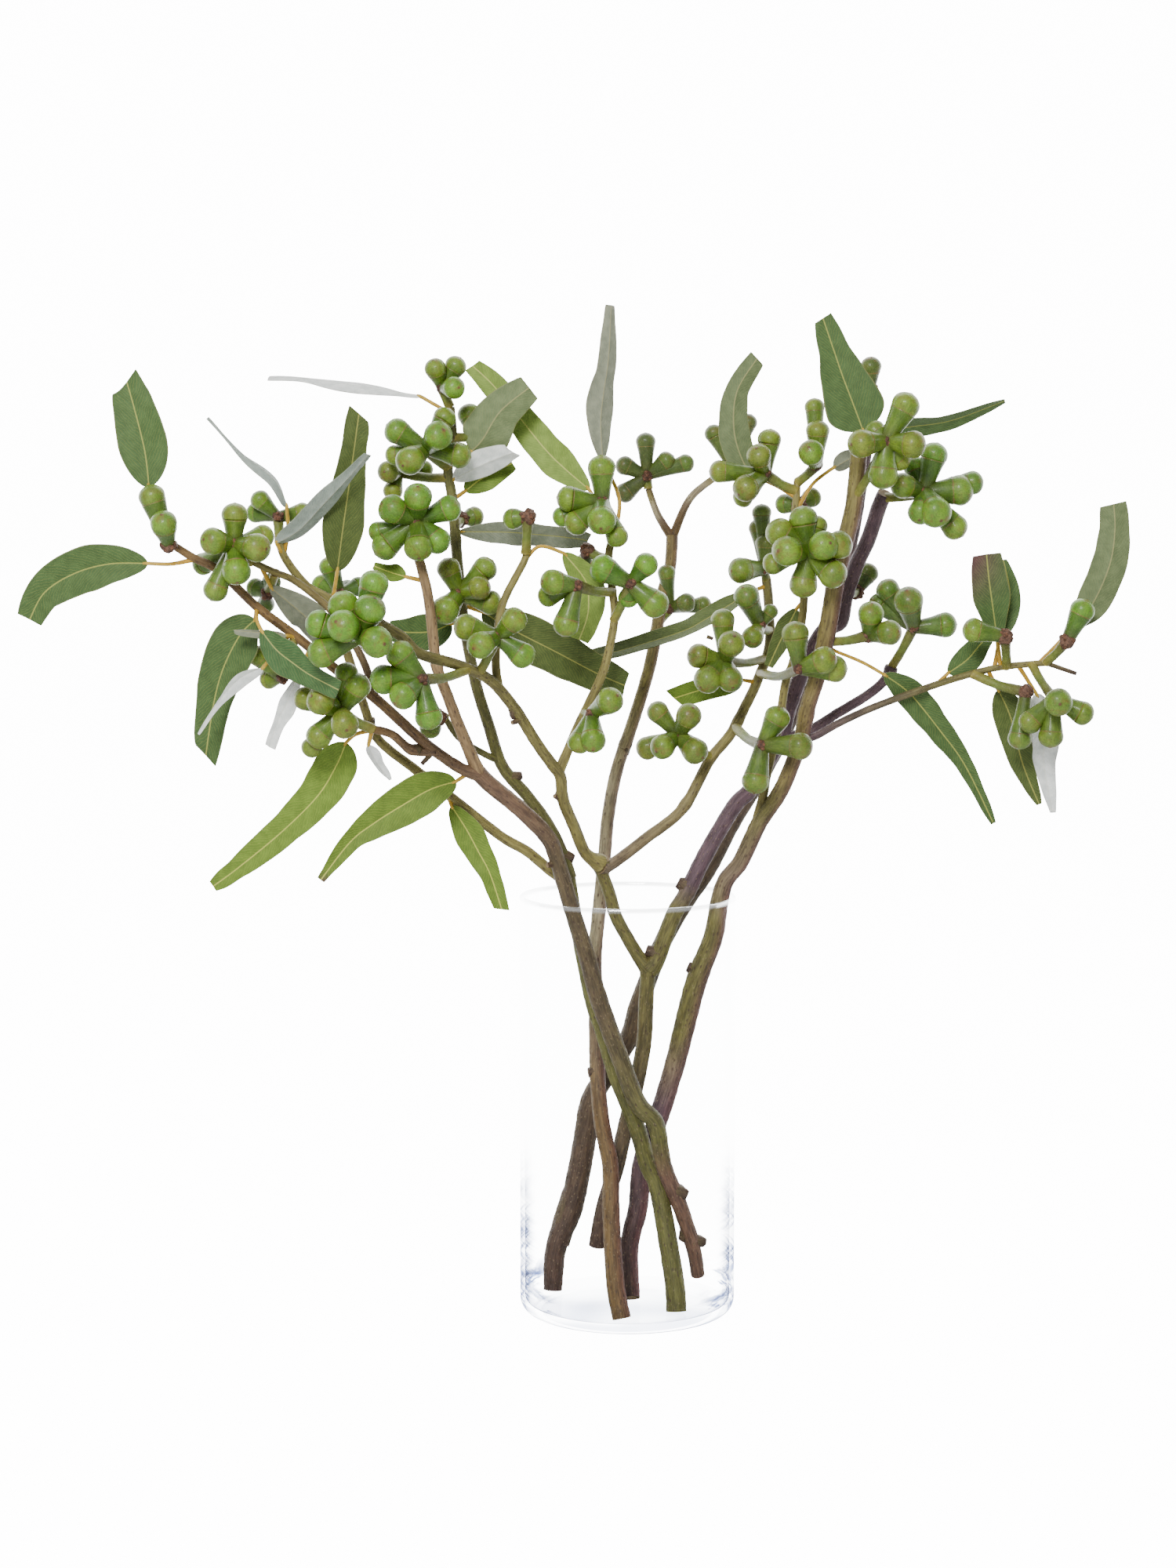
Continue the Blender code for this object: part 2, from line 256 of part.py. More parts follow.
# Each umbel: sprig, branch, (x, z) where its peduncle leaves the branch, (x, z, y) of its hub, and
# its nuts as (x, z, radius) at the widest ring. A nut leans towards the eye unless a fourth value
# says how far behind the hub it lies.
UMBELS = [
    ("sprig_f", "left", (-213, 365), (-214.8, 365, -107), [
        (-222.5, 387.5, 5.8), (-217.2, 375, 5.8)]),
    ("sprig_f", "high", (-175.8, 357), (-184.3, 365, -105), [
        (-183.8, 379, 5.8), (-194.3, 366.7, 5.9), (-173.3, 363.6, 6.2), (-170.6, 369, 5.2, 8),
        (-183.3, 352.4, 6.3), (-198.8, 356, 5.0, 18), (-193.2, 343.6, 5.4)]),
    ("sprig_e", "left", (-163, 366), (-163.5, 378, -58), [
        (-172, 386, 4.5), (-174, 380, 4.5, 8), (-152, 380, 4.6)]),
    ("sprig_f", "left", (-156, 322.5), (-162.3, 302.7, -80), [
        (-173, 313, 4.9), (-168, 308, 4.4, 9), (-168.6, 302, 4.4, 7)]),
    ("sprig_f", "high", (-165, 352), (-169, 342, -78), [
        (-167, 347.5, 4.3, 7), (-174.4, 345, 4.3, 7), (-169.8, 337, 4.0, 8)]),
    ("sprig_e", "left", (-141.5, 339.8), (-135, 342, -47), [
        (-139.5, 355, 5.0), (-143.4, 346, 5.0, 8), (-131.4, 344, 4.6, 9), (-126, 345.5, 4.5, 5)]),
    ("sprig_b", "front_left", (-117, 328.7), (-126, 322, -124), [
        (-133.4, 337, 6.6), (-145.2, 328, 6.2), (-133.8, 327, 6.9), (-119, 347, 6.3),
        (-120.7, 335, 6.9), (-144, 314, 6.4), (-117.5, 319.5, 6.8)]),
    ("sprig_b", "front_left", (-75, 306.5), (-97, 302, -116), [
        (-107, 314, 6.2), (-114.7, 302, 6.6), (-106, 294, 6.0), (-93.6, 284, 6.0)]),
    ("sprig_e", "small", (-86, 284), (-89, 284, -54), [(-93, 279, 5.0, 6)]),
    ("sprig_f", "low", (-120.3, 278.6), (-135, 287, -97), [
        (-127, 299, 6.2), (-132, 305, 5.2), (-144.7, 292, 6.2), (-151.7, 293, 5.4, 3),
        (-133, 280.5, 6.1), (-145.6, 275, 5.8), (-149, 269.6, 4.6, 5)]),
    ("sprig_e", "main", (-83, 429), (-86.5, 438, -54), [
        (-89.8, 447, 4.8), (-80.2, 448, 4.9), (-81, 438, 5.0)]),
    ("sprig_e", "main", (-82, 415), (-71, 416, -45), [(-74, 425.6, 5.4, 3)]),
    ("sprig_e", "main", (-84, 401), (-94.2, 409.5, -64), [
        (-108, 418, 5.9), (-85.4, 424, 5.2, 2), (-88.4, 416, 6.4), (-102, 404, 6.4),
        (-78.6, 406.6, 5.8), (-109, 406.6, 4.6, 6)]),
    ("sprig_e", "main", (-83.5, 396), (-107, 399, -36), [
        (-111.8, 399, 5.0), (-94.7, 400, 4.1, 2), (-110, 390, 4.5)]),
    ("sprig_f", "upper", (-97.7, 358), (-98.6, 376, -78), [
        (-98.3, 387.5, 6.3), (-110.4, 381.7, 6.4), (-83.5, 382, 5.8), (-113.8, 364, 6.2),
        (-98, 363.6, 6.4), (-88.8, 366.5, 5.9), (-117, 371, 4.6, 3)]),
    ("sprig_e", "main", (-80.6, 374), (-78, 377, -34), [(-71.7, 378, 4.7, 4)]),
    ("sprig_e", "main", (-79, 345), (-79, 342, -54), [
        (-84, 354, 5.4), (-66.8, 354, 5.6), (-69.3, 345, 5.4), (-64.4, 338, 5.6),
        (-85.9, 334, 6.4)]),
    ("sprig_b", "front_left", (-70, 304.5), (-61.4, 322, -88), [
        (-76, 326.5, 6.0), (-69.3, 318, 6.0), (-53, 330, 5.6), (-49.2, 313, 5.8)]),
    ("sprig_b", "middle_twig", (-7.4, 343), (-24, 346, -76), [
        (-35.5, 347.5, 5.8), (-37.5, 341, 5.0, 4), (-29.2, 327.5, 5.9)]),
    ("sprig_b", "middle_twig", (-9, 358), (-19, 362, -46), [(-20.5, 356, 4.4, 8)]),
    ("sprig_b", "middle_twig", (-6, 372), (-12, 385, -60), [
        (-12.5, 401, 6.2), (-28, 386.6, 5.8), (-24.3, 375, 5.8), (-31, 378, 4.6, 5),
        (-12.5, 376, 6.4), (-5, 368.5, 5.0, -6)]),
    ("sprig_b", "light_twig", (-47.8, 361), (-46.8, 378, -62), [(-54, 377, 4.8, 4)]),
    ("sprig_c", "left", (9.5, 391), (8.8, 397, 82), [
        (8.2, 413, 4.9), (-1.8, 402, 4.7), (18, 404, 4.8), (27, 403, 4.5), (-1.5, 389, 5.0)]),
    ("sprig_b", "middle_twig", (-6.3, 330), (1.2, 347, -60), [
        (-12, 354, 6.4), (8.8, 356, 5.4), (12.9, 337, 6.4), (0.2, 340, 4.6, 6)]),
    ("sprig_b", "middle_twig", (-20, 286.5), (-16.9, 286, -49), [
        (-8.2, 292, 6.1), (-22.8, 272, 5.4, -6), (-16.5, 273, 6.0, -9)]),
    ("sprig_c", "stem", (13.8, 328), (19.8, 335, 72), [
        (18, 352, 4.4, -3), (27.6, 338, 4.7), (35.4, 337, 4.4)]),
    ("sprig_b", "inner", (63.5, 312), (45.5, 310.5, -8), [
        (44.5, 330, 5.6), (48.7, 319, 6.2), (33, 313, 5.8), (37.3, 301.6, 6.5),
        (48.3, 301.6, 5.8)]),
    ("sprig_b", "inner", (66.2, 325), (62, 327, 6), [
        (55.5, 341, 6.1, -10), (58.4, 321.6, 5.2), (67, 334, 3.6)]),
    ("sprig_b", "inner", (64.8, 349), (63.8, 354, 18), [
        (52.5, 353, 6.1), (64.3, 366, 4.8), (61, 373, 4.6, 4), (62.5, 380, 4.6, 2)]),
    ("sprig_d", "twig", (82, 356), (84.3, 361.7, -47), [
        (81.9, 377, 6.6), (70.6, 371, 6.6), (74, 362, 6.8), (91.7, 364.6, 6.6),
        (99, 365, 6.4, -8), (96, 351, 6.6, -8), (82, 346, 6.4), (67.7, 356, 5.0, 3),
        (88.3, 374, 5.0, 2)]),
    ("sprig_d", "twig", (78.8, 390), (64, 398, -24), [
        (61, 406.6, 5.6), (66, 414, 5.4), (55, 391, 6.2), (53.5, 387, 4.8, 2),
        (42.5, 399, 5.2)]),
    ("sprig_c", "right", (45, 400), (48, 402, 93), [(39.8, 417, 4.6), (56, 422, 4.6)]),
    ("sprig_d", "twig", (79, 394), (88, 402, -26), [
        (88.3, 418, 5.4), (85.3, 408, 5.9), (86.8, 429, 4.6, 4)]),
    ("sprig_d", "twig", (78.5, 382), (80, 384, -14), [(86, 387, 4.6, 5), (73, 384, 4.6, 5)]),
    ("sprig_d", "stem", (105.5, 386), (120.3, 413, -52), [
        (129.3, 430, 6.4), (108.5, 412, 6.4), (133, 411.5, 6.2), (118.9, 397, 6.7),
        (115, 418, 4.8, 4), (127, 404, 4.8, 5)]),
    ("sprig_a", "stem", (112.5, 432), (112.5, 437, 58), [(113, 448, 5.0)]),
    ("sprig_b", "right", (119, 387), (138, 389.5, -32), [
        (142.9, 407, 6.2), (155, 390.5, 7.0), (161, 394, 5.4, 2), (144, 380, 7.2),
        (153, 373, 6.0), (136.7, 380, 5.8), (128, 392.7, 5.8, -7), (134, 401, 5.4, 5)]),
    ("sprig_b", "inner", (51.7, 279), (63.2, 271, -22), [
        (70.4, 284, 6.0), (81.4, 270.5, 6.2, -12), (60.3, 253.7, 6.4, -4)]),
    ("sprig_b", "inner", (38.7, 266), (23.6, 275.5, 2), [
        (13.9, 287, 5.2), (28.8, 285, 6.0), (16.2, 270, 5.8), (8.9, 269.5, 5.6, 3),
        (32, 268, 6.2)]),
    ("sprig_b", "inner", (64.5, 304), (80.5, 307, -38), [
        (78.5, 323.5, 6.2), (92.4, 311, 6.2), (97.4, 307, 6.2, -1)]),
    ("sprig_b", "side", (124, 308), (134, 326.4, 10), [
        (131.4, 339, 7.0), (121.5, 344, 5.6), (117.6, 337.5, 5.4, 4), (149, 327.4, 6.0)]),
    ("sprig_b", "right", (102.5, 343), (107, 343, 20), [(112.5, 352, 5.0, 3)]),
    ("sprig_d", "stem", (93, 319.5), (113, 322.5, -20), [(114, 333, 6.0, -6), (123, 324, 5.8)]),
    ("sprig_d", "right", (178, 308), (177, 322, -30), [(162, 325, 5.6)]),
    ("sprig_d", "right", (196, 309.7), (206, 320, -28), [(213, 334.5, 5.8)]),
    ("sprig_d", "right", (189.5, 309.3), (200, 293, -34), [
        (202.3, 291, 6.4), (214, 286, 5.6), (199, 275, 5.8), (189, 281.6, 5.4)]),
    ("sprig_d", "right", (162, 304.3), (187, 296, -26), [(184.5, 274, 5.6)]),
]

COLOURS = {
    "vase": (0.92, 0.95, 0.95, 1.0),
    "sprig_a": (0.11, 0.07, 0.07, 1.0),
    "sprig_b": (0.20, 0.19, 0.08, 1.0),
    "sprig_c": (0.17, 0.12, 0.08, 1.0),
    "sprig_d": (0.17, 0.16, 0.09, 1.0),
    "sprig_e": (0.12, 0.14, 0.06, 1.0),
    "sprig_f": (0.16, 0.09, 0.05, 1.0),
    "gum_nuts": (0.21, 0.31, 0.06, 1.0),
}


def seen(x, z, y):
    """The place, in metres, of a point that the eye sees at (x, z) and that lies y deep."""
    flat = Vector((x, 0.0, z))
    return (EYE + (flat - EYE) * (1.0 + y / -EYE.y)) * MM


def clear_scene():
    for item in list(bpy.data.objects):
        bpy.data.objects.remove(item, do_unlink=True)


def new_collection(name):
    collection = bpy.data.collections.new(name)
    bpy.context.scene.collection.children.link(collection)
    return collection


def make_material(name, colour, roughness):
    material = bpy.data.materials.new(name)
    material.use_nodes = True
    shader = material.node_tree.nodes["Principled BSDF"]
    shader.inputs["Base Color"].default_value = colour
    shader.inputs["Roughness"].default_value = roughness
    shader.inputs["Metallic"].default_value = 0.0
    material.diffuse_color = colour
    return material


def place(name, mesh, collection):
    item = bpy.data.objects.new(name, mesh)
    collection.objects.link(item)
    return item


def evaluated_mesh(item):
    """The object's mesh after its modifiers, with curve caps welded to their tube."""
    graph = bpy.context.evaluated_depsgraph_get()
    mesh = bpy.data.meshes.new_from_object(item.evaluated_get(graph))
    work = bmesh.new()
    work.from_mesh(mesh)
    bmesh.ops.remove_doubles(work, verts=work.verts, dist=0.00001)
    work.to_mesh(mesh)
    work.free()
    return mesh


def tube(points, radii, level, workshop):
    """A round tube through points, with a radius in millimetres at each one."""
    curve = bpy.data.curves.new("tube", "CURVE")
    curve.dimensions = "3D"
    curve.bevel_depth = 1.0
    curve.bevel_resolution = level
    curve.use_fill_caps = True
    spline = curve.splines.new("POLY")
    spline.points.add(len(points) - 1)
    for spot, point, radius in zip(spline.points, points, radii):
        spot.co = (*point, 1.0)
        spot.radius = radius * MM
    item = place("tube", curve, workshop)
    solid = place("tube_solid", evaluated_mesh(item), workshop)
    bpy.data.objects.remove(item, do_unlink=True)
    return solid


def ball(centre, radius, workshop):
    work = bmesh.new()
    bmesh.ops.create_uvsphere(work, u_segments=5, v_segments=3, radius=radius * MM)
    bmesh.ops.translate(work, verts=work.verts, vec=centre)
    mesh = bpy.data.meshes.new("ball")
    work.to_mesh(mesh)
    work.free()
    return place("ball", mesh, workshop)


def size_at(sizes, share):
    """The radius at share of a branch's length, from evenly spread sizes."""
    spot = share * (len(sizes) - 1)
    first = min(int(spot), len(sizes) - 2)
    return sizes[first] + (sizes[first + 1] - sizes[first]) * (spot - first)


def branch_tube(branch, extra, workshop):
    sizes, route = branch
    last = len(route) - 1
    radii = [size_at(sizes, index / last) + extra for index in range(last + 1)]
    level = WOOD_SIDES_LEVEL if sizes[0] > THICK_WOOD else TWIG_SIDES_LEVEL
    return tube([seen(*spot) for spot in route], radii, level, workshop)


def nearest_on(route, x, z):
    """The spot (x, z, y) on a route that the eye sees nearest to (x, z)."""
    best = None
    for (x0, z0, y0), (x1, z1, y1) in zip(route, route[1:]):
        run = (x1 - x0) ** 2 + (z1 - z0) ** 2
        share = ((x - x0) * (x1 - x0) + (z - z0) * (z1 - z0)) / run
        share = min(max(share, 0.0), 1.0)
        spot = (x0 + (x1 - x0) * share, z0 + (z1 - z0) * share, y0 + (y1 - y0) * share)
        miss = (spot[0] - x) ** 2 + (spot[1] - z) ** 2
        if best is None or miss < best[0]:
            best = (miss, spot)
    return best[1]


def smooth_path(points, steps):
    """Points at even shares along a smooth curve through the given points."""
    path = []
    last = len(points) - 1
    for index in range(steps + 1):
        place_on = index / steps * last
        low = min(int(place_on), last - 1)
        t = place_on - low
        p0 = points[max(low - 1, 0)]
        p1 = points[low]
        p2 = points[low + 1]
        p3 = points[min(low + 2, last)]
        path.append(0.5 * (2 * p1 + (p2 - p0) * t + (2 * p0 - 5 * p1 + 4 * p2 - p3) * t * t
                           + (3 * p1 - p0 - 3 * p2 + p3) * t ** 3))
    return path


def blade_share(t, peak, tip):
    """The blade's width at share t of its length: it swells to its peak, then narrows."""
    if t < peak:
        return BLADE_FOOT + (1.0 - BLADE_FOOT) * math.sin(t / peak * math.pi / 2) ** BLADE_SWELL
    return 1.0 - (1.0 - tip) * ((t - peak) / (1.0 - peak)) ** BLADE_TAPER


def strip(rows, roll_base, roll_tip, slant, extra, workshop):
    """A thin strip through (point, width) rows, made as an open surface and thickened."""
    work = bmesh.new()
    last = len(rows) - 1
    edges = []
    for index, (point, width) in enumerate(rows):
        ahead = (rows[min(index + 1, last)][0] - rows[max(index - 1, 0)][0]).normalized()
        across = ahead.cross(Vector((0.0, 1.0, 0.0))).normalized()
        roll = math.radians(roll_base + (roll_tip - roll_base) * index / last)
        side = (Matrix.Rotation(roll, 3, ahead) @ across).normalized()
        half = side * (width * 0.5 + extra) * MM
        skew = ahead * (slant * MM if index == last else 0.0)
        edges.append((work.verts.new(point - half - skew), work.verts.new(point + half + skew)))
    for (left, right), (next_left, next_right) in zip(edges, edges[1:]):
        work.faces.new((left, right, next_right))
        work.faces.new((left, next_right, next_left))
    mesh = bpy.data.meshes.new("strip")
    work.to_mesh(mesh)
    work.free()
    surface = place("strip", mesh, workshop)
    shell = surface.modifiers.new("Thickness", "SOLIDIFY")
    shell.thickness = (BLADE_THICKNESS + 2.0 * extra) * MM
    shell.offset = 0.0
    solid = place("strip_solid", evaluated_mesh(surface), workshop)
    bpy.data.objects.remove(surface, do_unlink=True)
    return solid


def leaf(spec, extra, workshop):
    """A petiole and blade as one strip, grown by extra millimetres on every side."""
    (sprig, branch, tip_depth, width, roll_base, roll_tip, peak, tip, slant, petiole_points,
     route) = spec
    base_depth = nearest_on(WOOD[sprig][branch][1], *route[0])[2]
    last = len(route) - 1
    spots = []
    for index, (x, z) in enumerate(route):
        spots.append(seen(x, z, base_depth + (tip_depth - base_depth) * index / last))
    rows = [(spot, PETIOLE_WIDTH) for spot in spots[:petiole_points]]
    path = smooth_path(spots[petiole_points:], BLADE_STEPS)
    for index, point in enumerate(path):
        rows.append((point, width * blade_share(index / BLADE_STEPS, peak, tip)))
    return strip(rows, roll_base, roll_tip, slant, extra, workshop)


def nut_template(rings, workshop):
    """One nut turned round its axis, whose rings are numbered by their height."""
    mesh = bpy.data.meshes.new("nut_profile")
    spots = [(ring[0], 0.0, float(index)) for index, ring in enumerate(rings)]
    spots.reverse()
    mesh.from_pydata(spots, [(index, index + 1) for index in range(len(spots) - 1)], [])
    profile = place("nut_profile", mesh, workshop)
    turn = profile.modifiers.new("Turn", "SCREW")
    turn.steps = NUT_SIDES
    turn.render_steps = NUT_SIDES
    turn.use_merge_vertices = True
    turn.merge_threshold = 0.0001
    template_mesh = evaluated_mesh(profile)
    bpy.data.objects.remove(profile, do_unlink=True)
    return template_mesh


def nut(templates, base, centre, radius, workshop):
    """A club-shaped nut from the hub at base, widest at centre."""
    axis = centre - base
    length = axis.length / MM
    turn = Vector((0.0, 0.0, 1.0)).rotation_difference(axis).to_matrix()
    rings = LARGE_NUT_RINGS if radius > LARGE_NUT else SMALL_NUT_RINGS
    mesh = templates[len(rings)].copy()
    for vertex in mesh.vertices:
        ring = rings[round(vertex.co.z)]
        flat = Vector((vertex.co.x, vertex.co.y, 0.0))
        if flat.length > 0.0:
            flat = flat.normalized() * ring[0] * radius
        height = ring[1] * length + ring[2] * radius
        vertex.co = base + turn @ Vector((flat.x, flat.y, height)) * MM
    return place("nut", mesh, workshop)


def boolean(item, other, operation, solver):
    """Apply one Boolean between an object and the objects of a collection."""
    step = item.modifiers.new(operation, "BOOLEAN")
    step.operation = operation
    step.operand_type = "COLLECTION"
    step.collection = other
    step.solver = solver
    graph = bpy.context.evaluated_depsgraph_get()
    mesh = bpy.data.meshes.new_from_object(item.evaluated_get(graph))
    item.modifiers.remove(step)
    item.data = mesh


def fuse(name, pieces, collection, material):
    """Join overlapping pieces into one closed body and name it."""
    body = place(name, pieces[0].data, collection)
    repeats = new_collection(name + "_repeats")
    for piece in pieces[1:]:
        for holder in piece.users_collection:
            holder.objects.unlink(piece)
        repeats.objects.link(piece)
    if len(pieces) > 1:
        boolean(body, repeats, "UNION", "MANIFOLD")
    for piece in pieces:
        bpy.data.objects.remove(piece, do_unlink=True)
    bpy.data.collections.remove(repeats)
    body.data.materials.clear()
    body.data.materials.append(material)
    return body


def keep_largest(item):
    """Drop loose scraps, so that the object is one body."""
    work = bmesh.new()
    work.from_mesh(item.data)
    left = set(work.verts)
    groups = []
    while left:
        stack = [left.pop()]
        group = set(stack)
        while stack:
            vertex = stack.pop()
            for edge in vertex.link_edges:
                other = edge.other_vert(vertex)
                if other in left:
                    left.discard(other)
                    group.add(other)
                    stack.append(other)
        groups.append(group)
    groups.sort(key=len)
    for group in groups[:-1]:
        bmesh.ops.delete(work, geom=list(group), context="VERTS")
    work.to_mesh(item.data)
    work.free()


def make_sprig(name, collection, workshop):
    pieces = [branch_tube(branch, 0.0, workshop) for branch in WOOD[name].values()]
    for x, z, y, radius in KNOTS.get(name, []):
        pieces.append(ball(seen(x, z, y), radius, workshop))
    for spec in LEAVES:
        if spec[0] == name:
            pieces.append(leaf(spec, 0.0, workshop))
    material = make_material(name, COLOURS[name], 0.6)
    return fuse(name, pieces, collection, material)


def make_clearance(name, cutters):
    """The sprig's wood and leaves, a clearance thicker, to trim its umbels where they meet."""
    holder = bpy.data.collections.new(name + "_clearance")
    cutters.children.link(holder)
    for branch in WOOD[name].values():
        branch_tube(branch, CLEARANCE, holder)
    for x, z, y, radius in KNOTS.get(name, []):
        ball(seen(x, z, y), radius + CLEARANCE, holder)
    for spec in LEAVES:
        if spec[0] == name:
            leaf(spec, CLEARANCE, holder)
    for cutter in holder.objects:
        cutter.hide_render = True
        cutter.display_type = "WIRE"
    return holder


def make_umbel(name, spec, templates, holder, material, collection, workshop):
    sprig, branch, foot, hub, nuts = spec
    start = seen(*nearest_on(WOOD[sprig][branch][1], *foot))
    centre = seen(*hub)
    pieces = [ball(centre, HUB_RADIUS, workshop),
              tube([start, centre], [PEDUNCLE_RADIUS, PEDUNCLE_RADIUS], TWIG_SIDES_LEVEL,
                   workshop)]
    for x, z, radius, *behind in nuts:
        reach = math.hypot(x - hub[0], z - hub[1])
        depth = behind[0] if behind else -math.sqrt(max((NUT_LENGTH * radius) ** 2
                                                        - reach ** 2, 1.0))
        pieces.append(nut(templates, centre, seen(x, z, hub[2] + depth), radius, workshop))
    umbel = fuse(name, pieces, collection, material)
    boolean(umbel, holder, "DIFFERENCE", "MANIFOLD")
    keep_largest(umbel)
    return umbel


def make_vase(collection, workshop):
    outer = VASE_DIAMETER / 2
    inner = outer - VASE_WALL
    corner = [(outer - VASE_CORNER + VASE_CORNER * math.cos(math.radians(angle)),
               VASE_CORNER - VASE_CORNER * math.sin(math.radians(angle)))
              for angle in (0, 30, 60, 90)]
    profile = [(outer, VASE_HEIGHT - 0.8), *corner, (0.0, 0.0)]
    inside = [(0.0, VASE_FLOOR), (inner - 3.0, VASE_FLOOR), (inner, VASE_FLOOR + 3.0),
              (inner, VASE_HEIGHT - 0.8), (inner + VASE_WALL / 2, VASE_HEIGHT)]
    spots = [(x * MM, 0.0, z * MM) for x, z in profile + inside]
    mesh = bpy.data.meshes.new("vase_profile")
    edges = [(index, index + 1) for index in range(len(spots) - 1)] + [(len(spots) - 1, 0)]
    edges.remove((len(profile) - 1, len(profile)))
    mesh.from_pydata(spots, edges, [])
    turned = place("vase_profile", mesh, workshop)
    turn = turned.modifiers.new("Turn", "SCREW")
    turn.steps = VASE_SEGMENTS
    turn.render_steps = VASE_SEGMENTS
    turn.use_merge_vertices = True
    turn.merge_threshold = 0.00001
    vase = place("vase", evaluated_mesh(turned), collection)
    work = bmesh.new()
    work.from_mesh(vase.data)
    bmesh.ops.recalc_face_normals(work, faces=work.faces)
    work.to_mesh(vase.data)
    work.free()
    bpy.data.objects.remove(turned, do_unlink=True)
    vase.data.shade_smooth()
    vase.data.set_sharp_from_angle(angle=math.radians(35))
    vase.data.materials.append(make_material("vase", COLOURS["vase"], 0.05))
    return vase


def main():
    clear_scene()
    collection = new_collection("eucalyptus_gum_nut_sprigs")
    cutters = new_collection("cutters")
    workshop = new_collection("workshop")
    make_vase(collection, workshop)
    holders = {}
    for name in WOOD:
        make_sprig(name, collection, workshop)
        holders[name] = make_clearance(name, cutters)
    templates = {len(rings): nut_template(rings, workshop)
                 for rings in (LARGE_NUT_RINGS, SMALL_NUT_RINGS)}
    material = make_material("gum_nuts", COLOURS["gum_nuts"], 0.45)
    for number, spec in enumerate(UMBELS, start=1):
        make_umbel(f"gum_nuts_{number:02d}", spec, templates, holders[spec[0]], material,
                   collection, workshop)
    bpy.data.collections.remove(workshop)


main()
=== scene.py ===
"""The looks of six cut eucalyptus sprigs with gum nuts in a glass cylinder vase.

Routes are lists of (x, z, y) in millimetres: x and z are read in the upright plane through the
vase's axis, as an eye 1.5 m in front of it sees them, and y is the depth behind that plane.
"""

import math
import random

import bmesh
import bpy
import numpy as np
from mathutils import Matrix, Vector, noise


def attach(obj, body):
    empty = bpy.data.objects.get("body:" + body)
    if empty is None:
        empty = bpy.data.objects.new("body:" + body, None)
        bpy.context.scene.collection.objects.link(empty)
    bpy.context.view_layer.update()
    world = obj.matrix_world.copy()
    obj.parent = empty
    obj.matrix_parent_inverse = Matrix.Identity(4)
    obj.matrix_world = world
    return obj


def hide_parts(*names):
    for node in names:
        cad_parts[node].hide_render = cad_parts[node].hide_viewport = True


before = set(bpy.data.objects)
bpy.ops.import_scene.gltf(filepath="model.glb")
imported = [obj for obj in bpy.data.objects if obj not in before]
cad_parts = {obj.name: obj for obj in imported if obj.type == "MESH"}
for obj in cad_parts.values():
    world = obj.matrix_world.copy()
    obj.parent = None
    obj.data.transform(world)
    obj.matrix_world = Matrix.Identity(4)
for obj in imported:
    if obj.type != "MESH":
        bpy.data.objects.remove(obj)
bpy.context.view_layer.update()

MM = 0.001
EYE = Vector((-18.7, -1500.0, 397.0))
CAMERA_DROP = 5.5

VASE_DIAMETER = 102.0
VASE_HEIGHT = 200.0
VASE_WALL = 2.2
VASE_FLOOR = 5.0
VASE_CORNER = 7.0
INNER_CORNER = 3.0
VASE_SEGMENTS = 144

BLADE_ROWS = 44
BLADE_COLUMNS = (-1.0, -0.93, -0.8, -0.62, -0.44, -0.27, -0.13, -0.05, 0.0,
                 0.05, 0.13, 0.27, 0.44, 0.62, 0.8, 0.93, 1.0)
BLADE_MIDDLE = 0.5
BLADE_FOOT = 0.12
BLADE_SWELL = 0.8
BLADE_TAPER = 1.35
BLADE_EDGE = 0.24
BLADE_PARTS = 5
CUT_FROM = 0.85
RIB_WIDTH = 0.55
RIB_LIFT = 0.35
RIB_DIP = 0.12
RIM_WAVER = 0.5
NUT_LENGTH = 2.35
NUT_SIDES = 22
NECK_ROWS = 9
CAP_ROWS = 13
NECK_SHARE = 0.5
NUT_SWELL = 1.01
HUB_FORWARD = 2.6
BARE_HUB_FORWARD = 0.6
HUB_RADIUS = 2.5
BARE_HUB_RADIUS = 3.6
GREENEST = (5, 6, 7, 8, 23, 24)

KNOB_REACH = 1.5
JOINT_SWELL = 1.15
BACKDROP_GLOW = 14.0
SKY_LIGHT = 0.12
BACKDROP_SHINE = 6.5
SKY_SHINE = 0.5
GLASS_SHINE = 0.16
RIM_SHINE = 0.35
KEY_POWER = 44.0
SIDE_POWER = 2.5
TOP_POWER = 9.0

SLOTS = {
    "sprig_a": "purple_bark",
    "sprig_b": "olive_bark",
    "sprig_c": "grey_brown_bark",
    "sprig_d": "green_purple_bark",
    "sprig_e": "green_bark",
    "sprig_f": "brown_bark",
}

